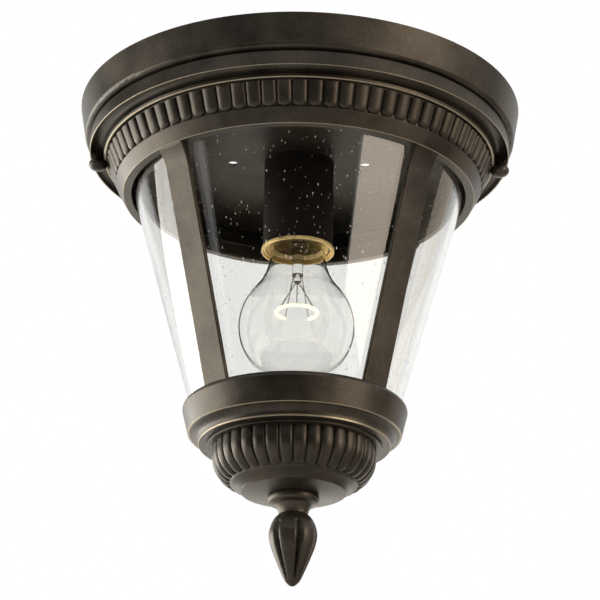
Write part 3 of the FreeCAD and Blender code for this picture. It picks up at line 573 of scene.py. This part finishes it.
# ---- operators ----
class LANTERN_OT_collar(bpy.types.Operator):
    """Spin the collar's moulding and set its ribs round it"""

    bl_idname = "lantern.collar"
    bl_label = "Collar"

    def execute(self, context):
        size = context.scene.lantern_collar
        lining_depth = 1.5 * MM  # outer side of the cone's wall, under the ribs' crests
        foot_rise = 1.6 * MM  # foot of the cove above the inner lip
        cone_rise = 0.4 * MM  # lower end of the cone above the ribs' end
        step_width, step_rise = 1.0 * MM, 0.15 * MM  # flat step on top of the plain band
        band_edge, bore_edge = 0.4 * MM, 0.3 * MM  # roundings
        bore_height = 1.5 * MM  # straight part of the mouth's bore
        lip = size.lip_width / 2
        cove_outer = size.radius - size.lip_width
        inner_outer = cove_outer - size.cove_width
        inner = size.inner_width / 2
        rib_top = inner_outer - size.inner_width
        valley = rib_top - size.rib_depth
        valley_end = valley - size.rib_inset
        lining_top = rib_top - lining_depth - size.wall
        lining_end = lining_top - size.rib_inset
        top_corner = (size.radius, size.top)
        profile = [(size.bore, size.top)]
        profile += rounded(top_corner, (size.bore, size.top), (size.radius, size.lip_level), lip, 4)
        profile += [(size.radius, size.lip_level + lip)]
        profile += arc((size.radius, size.lip_level + lip), (size.radius - lip, size.lip_level),
                       (cove_outer, size.lip_level + lip), 8)
        foot = (inner_outer + inner * 0.4, size.inner_level + foot_rise)
        crown = ((cove_outer + inner_outer) / 2 + size.cove_width / 8, size.crown_level)
        profile += arc((cove_outer, size.lip_level + lip), crown, foot, 20)
        lip_start = (inner_outer, size.inner_level + inner * 0.9)
        lip_middle = (inner_outer - inner * 0.7, size.inner_level)
        lip_end = (rib_top, size.inner_level + inner * 0.6)
        profile += [lip_start]
        profile += arc(lip_start, lip_middle, lip_end, 8)
        profile += [(valley, size.inner_level + inner)]
        profile += [(valley_end, size.rib_level + cone_rise)]
        edge = (size.band_radius, size.rib_level)
        mouth = (size.mouth_radius, size.mouth_level)
        inside = (size.mouth_bore, size.mouth_level)
        profile += [(size.band_radius - step_width, size.rib_level + step_rise)]
        profile += rounded(edge, (size.band_radius - 2 * step_width, size.rib_level), mouth, band_edge, 4)
        profile += rounded(mouth, edge, inside, lip, 5)
        profile += rounded(inside, mouth, (size.mouth_bore, size.mouth_level + 2 * bore_height), bore_edge, 3)
        profile += [(size.mouth_bore, size.mouth_level + bore_height), (lining_end, size.rib_level),
                    (lining_top, size.inner_level), (size.bore, size.inner_level + size.wall),
                    (size.bore, size.top)]
        piece = spun("collar_moulding", profile, 256)
        finish_piece(piece, "cage", bronze_paint(), ("cage_frame",))

        def on_lip(spot):
            radius = math.hypot(spot.x, spot.y)
            outer = abs(radius - size.radius + lip) < lip * 1.05 and spot.z < size.lip_level + lip * 0.7
            middle = rib_top < radius < inner_outer and spot.z < size.inner_level + inner * 0.5
            low = radius > size.mouth_radius - lip * 1.2 and spot.z < size.mouth_level + lip * 0.8
            return outer or middle or low

        # the lips' edges take the lighter paint: a painted highlight
        paint_highlight_faces(piece, lip_highlight_paint(), on_lip)

        # one rib: half a stretched sphere for its round end, and its rim drawn up along the cone
        pitch = FULL_TURN * (valley + valley_end) / 2 / size.rib_count
        slope = math.atan2(size.rib_inset, size.inner_level - size.rib_level)
        run = (size.inner_level - size.rib_level) / math.cos(slope)
        end = 3.4 * MM  # length of the rib's round end
        top_gap, end_gap = 0.3 * MM, 0.1 * MM  # from the rib to the inner lip and to the plain band
        clear_selection()
        bpy.ops.mesh.primitive_uv_sphere_add(segments=20, ring_count=10, radius=1.0 * MM)
        rib = bpy.context.object
        rib.name = "collar_ribs"
        rib.scale = (size.rib_depth / MM, pitch * 0.48 / MM, end / MM)
        bpy.ops.object.transform_apply(location=True, rotation=True, scale=True)
        bpy.ops.object.mode_set(mode="EDIT")
        bpy.ops.mesh.select_all(action="SELECT")
        bpy.ops.mesh.bisect(plane_co=(0, 0, 0), plane_no=(0, 0, 1), clear_outer=True)
        pick(rib, "VERT", lambda spot: spot.z > -0.01 * MM)
        bpy.ops.mesh.extrude_region_move(TRANSFORM_OT_translate={"value": (0, 0, run - end - top_gap)})
        bpy.ops.mesh.edge_face_add()
        tidy_mesh()
        bpy.ops.object.mode_set(mode="OBJECT")
        rib.rotation_euler = (0, slope, 0)
        rib.location = (
            valley_end + end * math.sin(slope), 0, size.rib_level + end * math.cos(slope) + end_gap)
        bpy.ops.object.transform_apply(location=True, rotation=True, scale=True)
        copied_round(rib, size.rib_count, size.rib_turn)
        finish_piece(rib, "cage", bronze_paint(), ("cage_frame",), 60.0)
        return {"FINISHED"}


class LANTERN_OT_bars(bpy.types.Operator):
    """Draw a bar's side, extrude it to its width, round its edges and copy it round the cage"""

    bl_idname = "lantern.bars"
    bl_label = "Bars"

    def execute(self, context):
        cage = context.scene.lantern_cage
        collar = context.scene.lantern_collar
        glass = context.scene.lantern_glass

        def skin(level):
            share = (collar.mouth_level - level) / (collar.mouth_level - glass.bottom)
            return glass.mouth_radius + share * (glass.bottom_radius - glass.mouth_radius) + glass.fit

        sunk = 2.5 * MM  # how far the bar's foot goes down behind the lower band's shoulder
        inset = 0.2 * MM  # bar's face behind the mouth's edge
        bow = 0.5 * MM  # hollow of the flare
        root = (collar.mouth_radius + 0.3 * MM, collar.mouth_level + 3.7 * MM)  # in the plain band's wall
        root_top = (collar.mouth_radius + 1.4 * MM, glass.top)
        foot = cage.band_level - sunk
        flare = collar.mouth_level - cage.bar_flare
        half = cage.bar_width / 2
        mouth_face = math.sqrt(collar.mouth_radius**2 - half**2) - inset
        flare_start = (skin(flare) + cage.bar_thickness, flare)
        middle = ((mouth_face + flare_start[0]) / 2 - bow, (collar.mouth_level + flare) / 2)
        side = [(skin(foot), foot), (skin(foot) + cage.bar_thickness, foot), flare_start]
        side += arc(flare_start, middle, (mouth_face, collar.mouth_level), 10)
        side += [root, root_top, (skin(glass.top), glass.top), side[0]]
        piece = traced("window_bars", [(radius, -half, level) for radius, level in side])
        bpy.ops.mesh.edge_face_add()
        bpy.ops.mesh.extrude_region_move(TRANSFORM_OT_translate={"value": (0, cage.bar_width, 0)})
        tidy_mesh()
        bpy.ops.object.mode_set(mode="OBJECT")
        bevel = piece.modifiers.new("edges", "BEVEL")
        bevel.width = cage.bar_edge
        bevel.segments = 3
        bevel.limit_method = "ANGLE"
        bevel.angle_limit = math.radians(50)
        bpy.ops.object.modifier_apply(modifier=bevel.name)
        copied_round(piece, 4, cage.bar_turn)
        finish_piece(piece, "cage", bronze_paint(), ("cage_frame",))
        return {"FINISHED"}


class LANTERN_OT_lower_band(bpy.types.Operator):
    """Spin the lower band with its shoulder, tapered face, cove, lip, seat and ledge"""

    bl_idname = "lantern.lower_band"
    bl_label = "Lower band"

    def execute(self, context):
        size = context.scene.lantern_cage
        glass = context.scene.lantern_glass
        bead = 0.8 * MM  # height of the lip's round edge
        throat_gap = 1.2 * MM  # glass to the shoulder's inner edge
        face_edge = 0.35 * MM  # rounding under the tapered face
        shelf_width, shelf_rise = 1.2 * MM, 0.2 * MM  # flat under that edge, before the cove
        cove_in, cove_drop = 1.55 * MM, 1.6 * MM  # middle of the cove, outside the lip and under the edge
        turn_in, turn_drop = size.band_round * 0.22, size.band_round * 0.34  # middle of the round shoulder
        shoulder = (size.band_radius - size.band_round * 0.8, size.band_level)
        turn_point = (size.band_radius - turn_in, size.band_level - turn_drop)
        girth = (size.band_radius, size.band_level - size.band_round)
        throat = glass.bottom_radius + throat_gap
        profile = [(throat, size.band_level), shoulder]
        profile += arc(shoulder, turn_point, girth, 8)
        edge = (size.edge_radius, size.edge_level)
        under = (size.edge_radius - shelf_width, size.edge_level + shelf_rise)
        profile += rounded(edge, girth, under, face_edge, 6)
        cove_middle = (size.lip_radius + cove_in, size.edge_level - cove_drop)
        cove_end = (size.lip_radius + bead * 0.5, size.lip_level + bead)
        profile += arc(profile[-1], cove_middle, cove_end, 12)
        lip_corner = (size.lip_radius + bead * 0.4, size.lip_level)
        profile += rounded(lip_corner, cove_end, (size.hole_radius, size.lip_level), bead * 0.4, 6)
        profile += [(size.hole_radius, size.lip_level), (size.hole_radius, size.ledge_level),
                    (size.ledge_radius, size.ledge_level), (size.seat_radius, size.seat_level),
                    (glass.bottom_radius + glass.fit, size.seat_level), (throat, size.band_level)]
        piece = spun("lower_band", profile, 192)
        finish_piece(piece, "cage", bronze_paint(), ("cage_frame",))

        def on_lip(spot):
            radius = math.hypot(spot.x, spot.y)
            upper = radius > size.edge_radius - 1.0 * MM and spot.z < size.edge_level + 0.5 * MM
            lower = radius > size.lip_radius - 0.3 * MM and spot.z < size.lip_level + bead * 1.05
            return upper or lower

        # the lips' edges take the lighter paint: a painted highlight
        paint_highlight_faces(piece, lip_highlight_paint(), on_lip)
        return {"FINISHED"}


class LANTERN_OT_glass(bpy.types.Operator):
    """Spin the glass cone with its fire-polished rims"""

    bl_idname = "lantern.glass"
    bl_label = "Glass cone"

    def execute(self, context):
        size = context.scene.lantern_glass
        collar = context.scene.lantern_collar
        slope = (size.mouth_radius - size.bottom_radius) / (collar.mouth_level - size.bottom)
        across = size.wall * math.sqrt(1 + slope**2)
        top_radius = size.bottom_radius + slope * (size.top - size.bottom)
        corners = [(size.bottom_radius - across, size.bottom), (size.bottom_radius, size.bottom),
                   (top_radius, size.top), (top_radius - across, size.top)]
        profile = []
        for k, corner in enumerate(corners):
            profile += rounded(corner, corners[k - 1], corners[(k + 1) % 4], size.rim_round, 4)
        profile.append(profile[0])
        piece = spun("glass_cone", profile, 256)
        finish_piece(piece, "cage", seeded_glass(), ("glass_shade",), 60.0)
        return {"FINISHED"}


class LANTERN_OT_cup(bpy.types.Operator):
    """Spin the cup's bowl and set convex ribs round it"""

    bl_idname = "lantern.cup"
    bl_label = "Fluted cup"

    def execute(self, context):
        size = context.scene.lantern_cup
        finial_seat = context.scene.lantern_finial.base_radius
        stud_hole = 2.55 * MM
        neck_edge, disc_edge = 0.5 * MM, 0.35 * MM  # roundings
        flute_depth = 1.2 * MM  # taken off the crests' radius before the wall is measured
        step = 0.4 * MM  # bowl's end under the round of the foot

        def side(reach, degrees):
            angle = math.radians(degrees)
            return (size.centre_radius + reach * math.cos(angle), size.centre_level - reach * math.sin(angle))

        bowl = size.round - size.rib_depth
        lining = size.round - flute_depth - size.wall
        lip = (size.neck_radius, context.scene.lantern_cage.lip_level)
        shelf = (size.centre_radius + bowl, size.neck_level)
        profile = [(size.spigot, size.top), (size.spigot, lip[1]), lip]
        profile += rounded((size.neck_radius, size.neck_level), lip, shelf, neck_edge, 4)
        profile += [shelf]
        profile += [side(bowl, degrees) for degrees in range(0, 61, 5)]
        foot_start = side(size.round, 69.0)
        profile += [side(size.round - step, 65.0), foot_start]

        def near_disc(out, up):
            return (size.disc_radius + out * MM, size.disc_level + up * MM)

        profile += arc(foot_start, near_disc(2.2, 2.5), near_disc(0.5, 0.9), 8)
        underside = (finial_seat, size.foot_level)
        profile += rounded(near_disc(0.0, 0.0), near_disc(0.2, 1.2), underside, disc_edge, 5)
        profile += [underside, (stud_hole, size.foot_level),
                    (stud_hole, size.disc_level + size.wall),
                    (size.disc_radius - size.wall, size.disc_level + size.wall)]
        profile += [side(lining, degrees) for degrees in range(68, -1, -4)]
        profile += [(size.spigot - size.wall, lip[1]), (size.spigot - size.wall, size.top),
                    (size.spigot, size.top)]
        piece = spun("cup_bowl", profile, 192)
        finish_piece(piece, "cage", bronze_paint(), ("fluted_cup",))

        # one rib: a flat oval laid under the neck, spun down round the bowl and closed to a round end
        tuck = 0.2 * MM  # rib's top, inside the neck
        clear_selection()
        outer = size.centre_radius + bowl
        start = size.neck_level + tuck
        bpy.ops.mesh.primitive_circle_add(vertices=20, radius=1.0 * MM, location=(outer, 0, start))
        rib = context.object
        rib.name = "cup_ribs"
        rib.scale = (size.rib_depth / MM, size.rib_width / 2 / MM, 1.0)
        bpy.ops.object.transform_apply(location=True, rotation=True, scale=True)
        bpy.ops.object.mode_set(mode="EDIT")
        bpy.ops.mesh.select_all(action="SELECT")
        bpy.ops.mesh.edge_face_add()
        bpy.ops.mesh.extrude_region_move(TRANSFORM_OT_translate={"value": (0, 0, size.centre_level - start)})
        bpy.ops.mesh.spin(
            steps=14, angle=size.rib_sweep, center=(size.centre_radius, 0, size.centre_level), axis=(0, -1, 0)
        )
        end = Vector((outer - bowl, 0, size.centre_level)) + bowl * Vector(
            (math.cos(size.rib_sweep), 0, -math.sin(size.rib_sweep)))
        along = Vector((-math.sin(size.rib_sweep), 0, -math.cos(size.rib_sweep)))
        for shrink, step in ((0.9, 0.9 * MM), (0.75, 0.8 * MM), (0.5, 0.5 * MM)):
            bpy.ops.mesh.extrude_region_move(TRANSFORM_OT_translate={"value": along * step})
            end += along * step
            bpy.ops.transform.resize(value=(shrink, shrink, shrink), center_override=end)
        tidy_mesh()
        bpy.ops.object.mode_set(mode="OBJECT")
        for vertex in rib.data.vertices:
            vertex.co.y *= vertex.co.x / outer
        copied_round(rib, size.rib_count, size.rib_turn)
        finish_piece(rib, "cage", bronze_paint(), ("fluted_cup",), 60.0)
        return {"FINISHED"}


class LANTERN_OT_finial(bpy.types.Operator):
    """Spin the finial and press the grooves between its leaves"""

    bl_idname = "lantern.finial"
    bl_label = "Finial"

    def execute(self, context):
        size = context.scene.lantern_finial
        top = context.scene.lantern_cup.foot_level
        base = top - size.base_height
        neck = top - size.neck_drop
        girth = top - size.bud_drop
        tip = top - size.length
        bead = size.base_height * 0.3
        edge = 0.3 * MM  # broken edge against the disc
        tip_round = (1.3 * MM, 0.35 * MM)  # radius and height of the blunt tip
        base_middle = (size.base_radius + bead * 0.2, (top + base) / 2)
        base_end = (size.base_radius - bead * 0.4, base)
        hollow = (size.neck_radius + (size.throat - size.neck_radius) * 0.3, neck + (base - neck) * 0.45)
        profile = [(0, top), (size.base_radius - edge, top), (size.base_radius, top - edge)]
        profile += arc(profile[-1], base_middle, base_end, 8)
        profile += [(size.throat, base - bead * 0.4)]
        profile += arc(profile[-1], hollow, (size.neck_radius, neck), 8)
        rise, fall = neck - girth, girth - tip
        bud = [(size.neck_radius, neck)]
        bud += [(size.bud_radius * width, neck - rise * share) for width, share in SWELL]
        bud += [(size.bud_radius * width, girth - fall * share) for width, share in TAPER]
        bud += [(tip_round[0], tip + tip_round[1])]
        profile += flowing(bud, 6)
        profile += [(0, tip)]
        around = size.leaf_count * 16
        piece = spun("bud_finial", profile, around)
        piece.rotation_euler = (0, 0, size.leaf_turn)
        bpy.ops.object.transform_apply(location=True, rotation=True, scale=True)
        bpy.ops.object.mode_set(mode="EDIT")
        step = FULL_TURN / around
        leaf = FULL_TURN / size.leaf_count
        full_depth = size.groove / size.bud_radius * 1.3
        shallow_top, deep_top, deep_end = neck - rise * 0.5, neck - rise * 1.4, tip + fall * 0.14
        bands = ((deep_top, shallow_top, 0.75), (deep_end, deep_top, 1.0), (tip, deep_end, 0.5))
        for column, press in enumerate((1.0, 0.62, 0.16)):
            for low, high, share in bands:
                def in_groove(spot):
                    turned = (math.atan2(spot.y, spot.x) - size.leaf_turn) % leaf
                    nearest = min(turned, leaf - turned)
                    return low <= spot.z < high and abs(nearest - column * step) < step * 0.4
                pick(piece, "VERT", in_groove)
                shrink = 1 - press * share * full_depth
                bpy.ops.transform.resize(value=(shrink, shrink, 1), center_override=(0, 0, 0))
        tidy_mesh()
        bpy.ops.object.mode_set(mode="OBJECT")
        finish_piece(piece, "cage", bronze_paint(), ("finial",), 50.0)
        return {"FINISHED"}


class LANTERN_OT_bulb(bpy.types.Operator):
    """Spin the bulb's glass, roll the shells and wind the coil"""

    bl_idname = "lantern.bulb"
    bl_label = "Bulb"

    def execute(self, context):
        size = context.scene.lantern_bulb
        tones = context.scene.lantern_finish

        def wall(offset):
            globe = size.radius - offset
            joint = (globe * math.cos(size.shoulder), size.centre + globe * math.sin(size.shoulder))
            neck = (size.neck_radius - offset, size.neck_level)
            across, down = joint[0] - neck[0], neck[1] - joint[1]
            chord = math.atan2(across, down)
            bulge = math.hypot(across, down) / 2 * math.tan((size.shoulder - chord) / 2)
            middle = ((neck[0] + joint[0]) / 2 - bulge * math.cos(chord),
                      (neck[1] + joint[1]) / 2 - bulge * math.sin(chord))
            throat = size.throat_radius - offset
            line = [(throat, size.throat_top), (throat, size.shell_level), neck]
            line += arc(neck, middle, joint, 10)
            steps = 28
            for k in range(1, steps + 1):
                angle = size.shoulder - (size.shoulder + QUARTER_TURN) * k / steps
                line.append((max(globe * math.cos(angle), 0.0), size.centre + globe * math.sin(angle)))
            return line

        outer, inner = wall(0.0), wall(size.wall)
        piece = spun("bulb_envelope", outer + inner[::-1] + [outer[0]], 128)
        finish_piece(piece, "bulb", bulb_glass(), ("bulb_glass",), 60.0)

        def rolled(level, end, root, crest, pitch):
            line = []
            while level < end:
                wave = (1 - math.cos(FULL_TURN * (level - end) / pitch)) / 2
                line.append((root + (crest - root) * wave, level))
                level += pitch / 8
            return line

        base_sheet, socket_sheet = 0.4 * MM, 0.5 * MM
        roll = 0.35 * MM  # depth of the socket's thread
        flare = 2.0 * MM  # width and height of the socket's flared mouth
        root = size.thread_radius - size.thread_depth
        first_turn = size.shell_level + size.pitch * 1.1
        shell = [(root, size.shell_level), (root, size.shell_level + size.pitch)]
        shell += rolled(first_turn, size.shell_top, root, size.thread_radius, size.pitch)
        shell += [(root, size.shell_top), (root - base_sheet, size.shell_top),
                  (root - base_sheet, size.shell_level), shell[0]]
        piece = spun("bulb_screw_shell", shell, 96)
        brass = plain_metal("rolled_brass_shell", tones.brass, 0.34, 2.2, 0.3)
        finish_piece(piece, "bulb", brass, ("bulb_base_shell",))

        bore = size.socket_radius
        mouth = size.socket_mouth + flare
        shell = [(bore + flare, size.socket_mouth), (bore, mouth)]
        shell += rolled(mouth + flare / 2, size.socket_top, bore, bore + roll, size.pitch)
        shell += [(bore, size.socket_top), (bore + socket_sheet, size.socket_top),
                  (bore + socket_sheet, mouth), (bore + flare + socket_sheet, size.socket_mouth), shell[0]]
        piece = spun("socket_rolled_shell", shell, 96)
        finish_piece(piece, "housing", brass, ("socket_screw_shell",))

        wire_radius = 0.2 * MM  # several times the real wire's, so that the coil shows
        turns, per_turn = size.coil_turns, 8
        start = QUARTER_TURN + size.coil_gap / 2
        sweep = FULL_TURN - size.coil_gap
        points = []
        for k in range(turns * per_turn + 1):
            along = start + sweep * k / (turns * per_turn)
            round_coil = FULL_TURN * k / per_turn
            radius = size.ring + size.coil_radius * math.cos(round_coil)
            points.append((radius * math.cos(along), radius * math.sin(along),
                           size.coil_level + size.coil_radius * math.sin(round_coil)))
        piece = traced("tungsten_coil", points)
        bpy.ops.object.mode_set(mode="OBJECT")
        bpy.ops.object.convert(target="CURVE")
        piece = context.object
        piece.data.bevel_depth = wire_radius
        piece.data.bevel_resolution = 1
        bpy.ops.object.convert(target="MESH")
        piece = context.object
        finish_piece(piece, "bulb", coil_with_painted_glow(), ("bulb_filament",), 60.0)
        return {"FINISHED"}


class LANTERN_OT_finishes(bpy.types.Operator):
    """Paint the frame's own pieces that stay in view"""

    bl_idname = "lantern.finishes"
    bl_label = "Finishes"

    def execute(self, context):
        tones = context.scene.lantern_finish
        paint_nodes(bronze_paint(), "ceiling_pan", "left_thumb_screw", "right_thumb_screw",
                    "left_thumb_sleeve", "right_thumb_sleeve")
        # closed-cell foam: matt, with open pores where it was cut
        paint_nodes(moulded("closed_cell_foam", tones.foam, 0.95, 0.9, 0.25, 1.4), "pan_seal")
        # extruded rubber: dull and smooth
        paint_nodes(moulded("extruded_rubber", tones.rubber, 0.7, 1.5, 0.05, 1.5), "glass_cushion")
        # compression-moulded phenolic with wood-flour filler: dark brown-black, faintly mottled, dull
        paint_nodes(moulded("moulded_phenolic", tones.phenolic, 0.75, 5.0, 0.004, 1.5, 0.12, 0.08),
                    "socket_sleeve", "socket_body", "nipple_bushing")
        # black glass pressed hot into the shell: glossy, uneven
        paint_nodes(moulded("pressed_black_glass", tones.vitrite, 0.12, 3.0, 0.1, 1.52), "bulb_insulator")
        # pressed brass sheet: bright, with the die's fine grain
        paint_nodes(plain_metal("pressed_brass", tones.brass, 0.34, 1.6, 0.1), "socket_rim", "socket_contact")
        # zinc-plated steel: pale grey with a soft bluish sheen, slightly rough
        paint_nodes(plain_metal("zinc_plated_steel", tones.plated, 0.34, 0.9, 0.03),
                    "thumb_screw_nuts", "socket_cap", "socket_nipple", "nipple_washer", "nipple_locknut",
                    "glass_clips", "glass_clip_screws", "cup_crossbar",
                    "finial_stud", "stud_washer", "stud_nut")
        # tin solder, melted on: dull grey with dimples
        paint_nodes(plain_metal("melted_solder", tones.solder, 0.4, 1.8, 0.2), "bulb_tip_contact")
        # nickel lead wire and molybdenum hooks: drawn, grey, fairly bright
        paint_nodes(plain_metal("drawn_nickel_wire", tones.plated, 0.3, 0.5, 0.01),
                    "bulb_lead_wires", "bulb_supports")
        paint_nodes(bulb_glass(), "bulb_stem")
        return {"FINISHED"}


class LANTERN_OT_stage(bpy.types.Operator):
    """Set the floor, the cards, the lamps, the world and the camera"""

    bl_idname = "lantern.stage"
    bl_label = "Stage"

    def execute(self, context):
        scene = context.scene
        tones = scene.lantern_finish
        scene.view_settings.view_transform = "Standard"
        middle = (0, 0, -0.1)  # middle of the lantern, which cards and lamps face

        def facing(location, aim, front):
            return (Vector(aim) - Vector(location)).to_track_quat(front, "Y").to_euler()

        def card(name, size, location, aim, tone, flag=False, lift=0.0):
            clear_selection()
            bpy.ops.mesh.primitive_plane_add(size=1.0, location=(0, 0, 0))
            sheet = context.object
            sheet.name = name
            sheet.scale = (size[0], size[1], 1.0)
            sheet.rotation_euler = facing(location, aim, "Z")
            sheet.location = location
            material, tree, place = material_named(name + "_finish")
            grain = add(tree, "TexNoise", {"Vector": place, "Scale": per_size(40.0), "Detail": 2.0})
            shade = add(tree, "MapRange", {"Value": grain.outputs["Fac"], "To Min": 0.97, "To Max": 1.03})
            body = add(tree, "VectorMath", {0: tone, "Scale": shade.outputs[0]}, operation="SCALE")
            matt = add(tree, "BsdfPrincipled", {
                "Base Color": body.outputs[0], "Roughness": 0.9, "Specular IOR Level": 0.1})
            if flag:
                # a flag darkens what the glass reflects, and lets through what is seen through both its walls
                crossings = add(tree, "LightPath").outputs["Transmission Depth"]
                through = add(tree, "Math", {0: crossings, 1: 2.5}, operation="GREATER_THAN")
                clear = add(tree, "BsdfTransparent")
                matt = add(tree, "MixShader", {
                    0: through.outputs[0], 1: matt.outputs[0], 2: clear.outputs[0]})
                sheet.visible_camera = False
                sheet.visible_shadow = False
            if lift:
                # seen directly or through glass, the sheet is paler than the lamps make it; its shadows stay
                seen = seen_by(tree, "Is Camera Ray", "Is Transmission Ray")
                strength = add(tree, "Math", {0: seen, 1: lift}, operation="MULTIPLY")
                glow = add(tree, "Emission", {"Color": opaque(tone), "Strength": strength.outputs[0]})
                matt = add(tree, "AddShader", {0: matt.outputs[0], 1: glow.outputs[0]})
            surface(tree, matt)
            sheet.data.materials.append(material)

        card("studio_floor", (6.0, 6.0), (0, 0, -0.62), (0, 0, 1), tones.floor, lift=0.35)
        for name, size, location, tone in (
            ("front_flag", (2.65, 1.2), (0.12, -1.75, -0.2), tones.flag),
            ("front_left_flag", (1.0, 1.2), (-1.25, -1.1, -0.2), tones.flag),
            ("right_flag", (1.2, 1.3), (1.5, 0.55, 0.0), tones.side_flag),
            ("upper_left_flag", (1.8, 0.8), (-1.5, 0.2, 0.5), tones.side_flag),
        ):
            card(name, size, location, middle, tone, flag=True)

        def lamp(name, location, size, power, tone):
            clear_selection()
            bpy.ops.object.light_add(type="AREA", location=location)
            light = context.object
            light.name = name
            light.rotation_euler = facing(location, middle, "-Z")
            light.data.shape = "RECTANGLE"
            light.data.size, light.data.size_y = size
            light.data.energy = power
            light.data.color = linear(tone)
            light.visible_camera = False
            light.visible_transmission = False

        lamp("left_softbox", (-1.35, 0.45, -0.17), (1.9, 0.66), 24.0, "#FFFCF4")
        lamp("right_softbox", (1.15, -0.75, -0.02), (0.75, 0.55), 7.0, "#FFE9CF")
        lamp("right_back_softbox", (1.3, 0.75, 0.1), (0.5, 0.5), 1.0, "#FFF0DC")
        lamp("back_softbox", (0.0, 1.25, -0.5), (1.8, 0.4), 4.5, "#FFF8EC")
        lamp("under_softbox", (-0.2, -0.3, -0.58), (0.8, 0.6), 0.7, "#FFFFFF")

        world = bpy.data.worlds.new("white_studio")
        scene.world = world
        world.use_nodes = True
        tree = world.node_tree
        tree.nodes.clear()
        # white where it is seen directly, mirrored or through glass, and dimmer where it lights the lantern
        seen = seen_by(tree, "Is Camera Ray", "Is Glossy Ray", "Is Transmission Ray")
        level = add(tree, "MapRange", {"Value": seen, "To Min": 0.4, "To Max": 1.0})
        sky = add(tree, "Background", {"Color": (1, 1, 1, 1), "Strength": level.outputs[0]})
        add(tree, "OutputWorld", {"Surface": sky.outputs[0]})

        # below and before the lantern, looking up at it
        pan, tilt, roll = 0.0005, math.radians(112), math.radians(0.91)
        bpy.ops.object.camera_add(location=(2.2 * MM, -1136.8 * MM, -564.1 * MM))
        camera = context.object
        camera.name = "photo_camera"
        aim = Matrix.Rotation(pan, 4, "Z") @ Matrix.Rotation(tilt, 4, "X") @ Matrix.Rotation(roll, 4, "Z")
        camera.rotation_euler = aim.to_euler()
        camera.data.sensor_width = 36.0
        camera.data.lens = 142.5
        camera.data.clip_start = 0.01
        camera.data.clip_end = 50.0
        scene.camera = camera
        return {"FINISHED"}


PIECES = (LANTERN_OT_collar, LANTERN_OT_bars, LANTERN_OT_lower_band, LANTERN_OT_glass, LANTERN_OT_cup,
          LANTERN_OT_finial, LANTERN_OT_bulb, LANTERN_OT_finishes, LANTERN_OT_stage)

GROUPS = {
    "lantern_collar": CollarSizes,
    "lantern_cage": CageSizes,
    "lantern_glass": GlassSizes,
    "lantern_cup": CupSizes,
    "lantern_finial": FinialSizes,
    "lantern_bulb": BulbSizes,
    "lantern_finish": FinishColours,
}


class LANTERN_PT_sidebar(bpy.types.Panel):
    """Buttons for the lantern's pieces and its stage"""

    bl_idname = "LANTERN_PT_sidebar"
    bl_label = "Porch lantern"
    bl_space_type = "VIEW_3D"
    bl_region_type = "UI"
    bl_category = "Lantern"

    def draw(self, context):
        for piece in PIECES:
            self.layout.operator(piece.bl_idname)


def register():
    for kind in (*GROUPS.values(), *PIECES, LANTERN_PT_sidebar):
        bpy.utils.register_class(kind)
    for name, kind in GROUPS.items():
        setattr(bpy.types.Scene, name, bpy.props.PointerProperty(type=kind))


def unregister():
    for name in GROUPS:
        delattr(bpy.types.Scene, name)
    for kind in reversed((*GROUPS.values(), *PIECES, LANTERN_PT_sidebar)):
        bpy.utils.unregister_class(kind)


def main():
    register()
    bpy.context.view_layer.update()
    bpy.ops.lantern.collar()
    bpy.ops.lantern.bars()
    bpy.ops.lantern.lower_band()
    bpy.ops.lantern.glass()
    bpy.ops.lantern.cup()
    bpy.ops.lantern.finial()
    bpy.ops.lantern.bulb()
    bpy.ops.lantern.finishes()
    bpy.ops.lantern.stage()


if __name__ == "__main__":
    main()
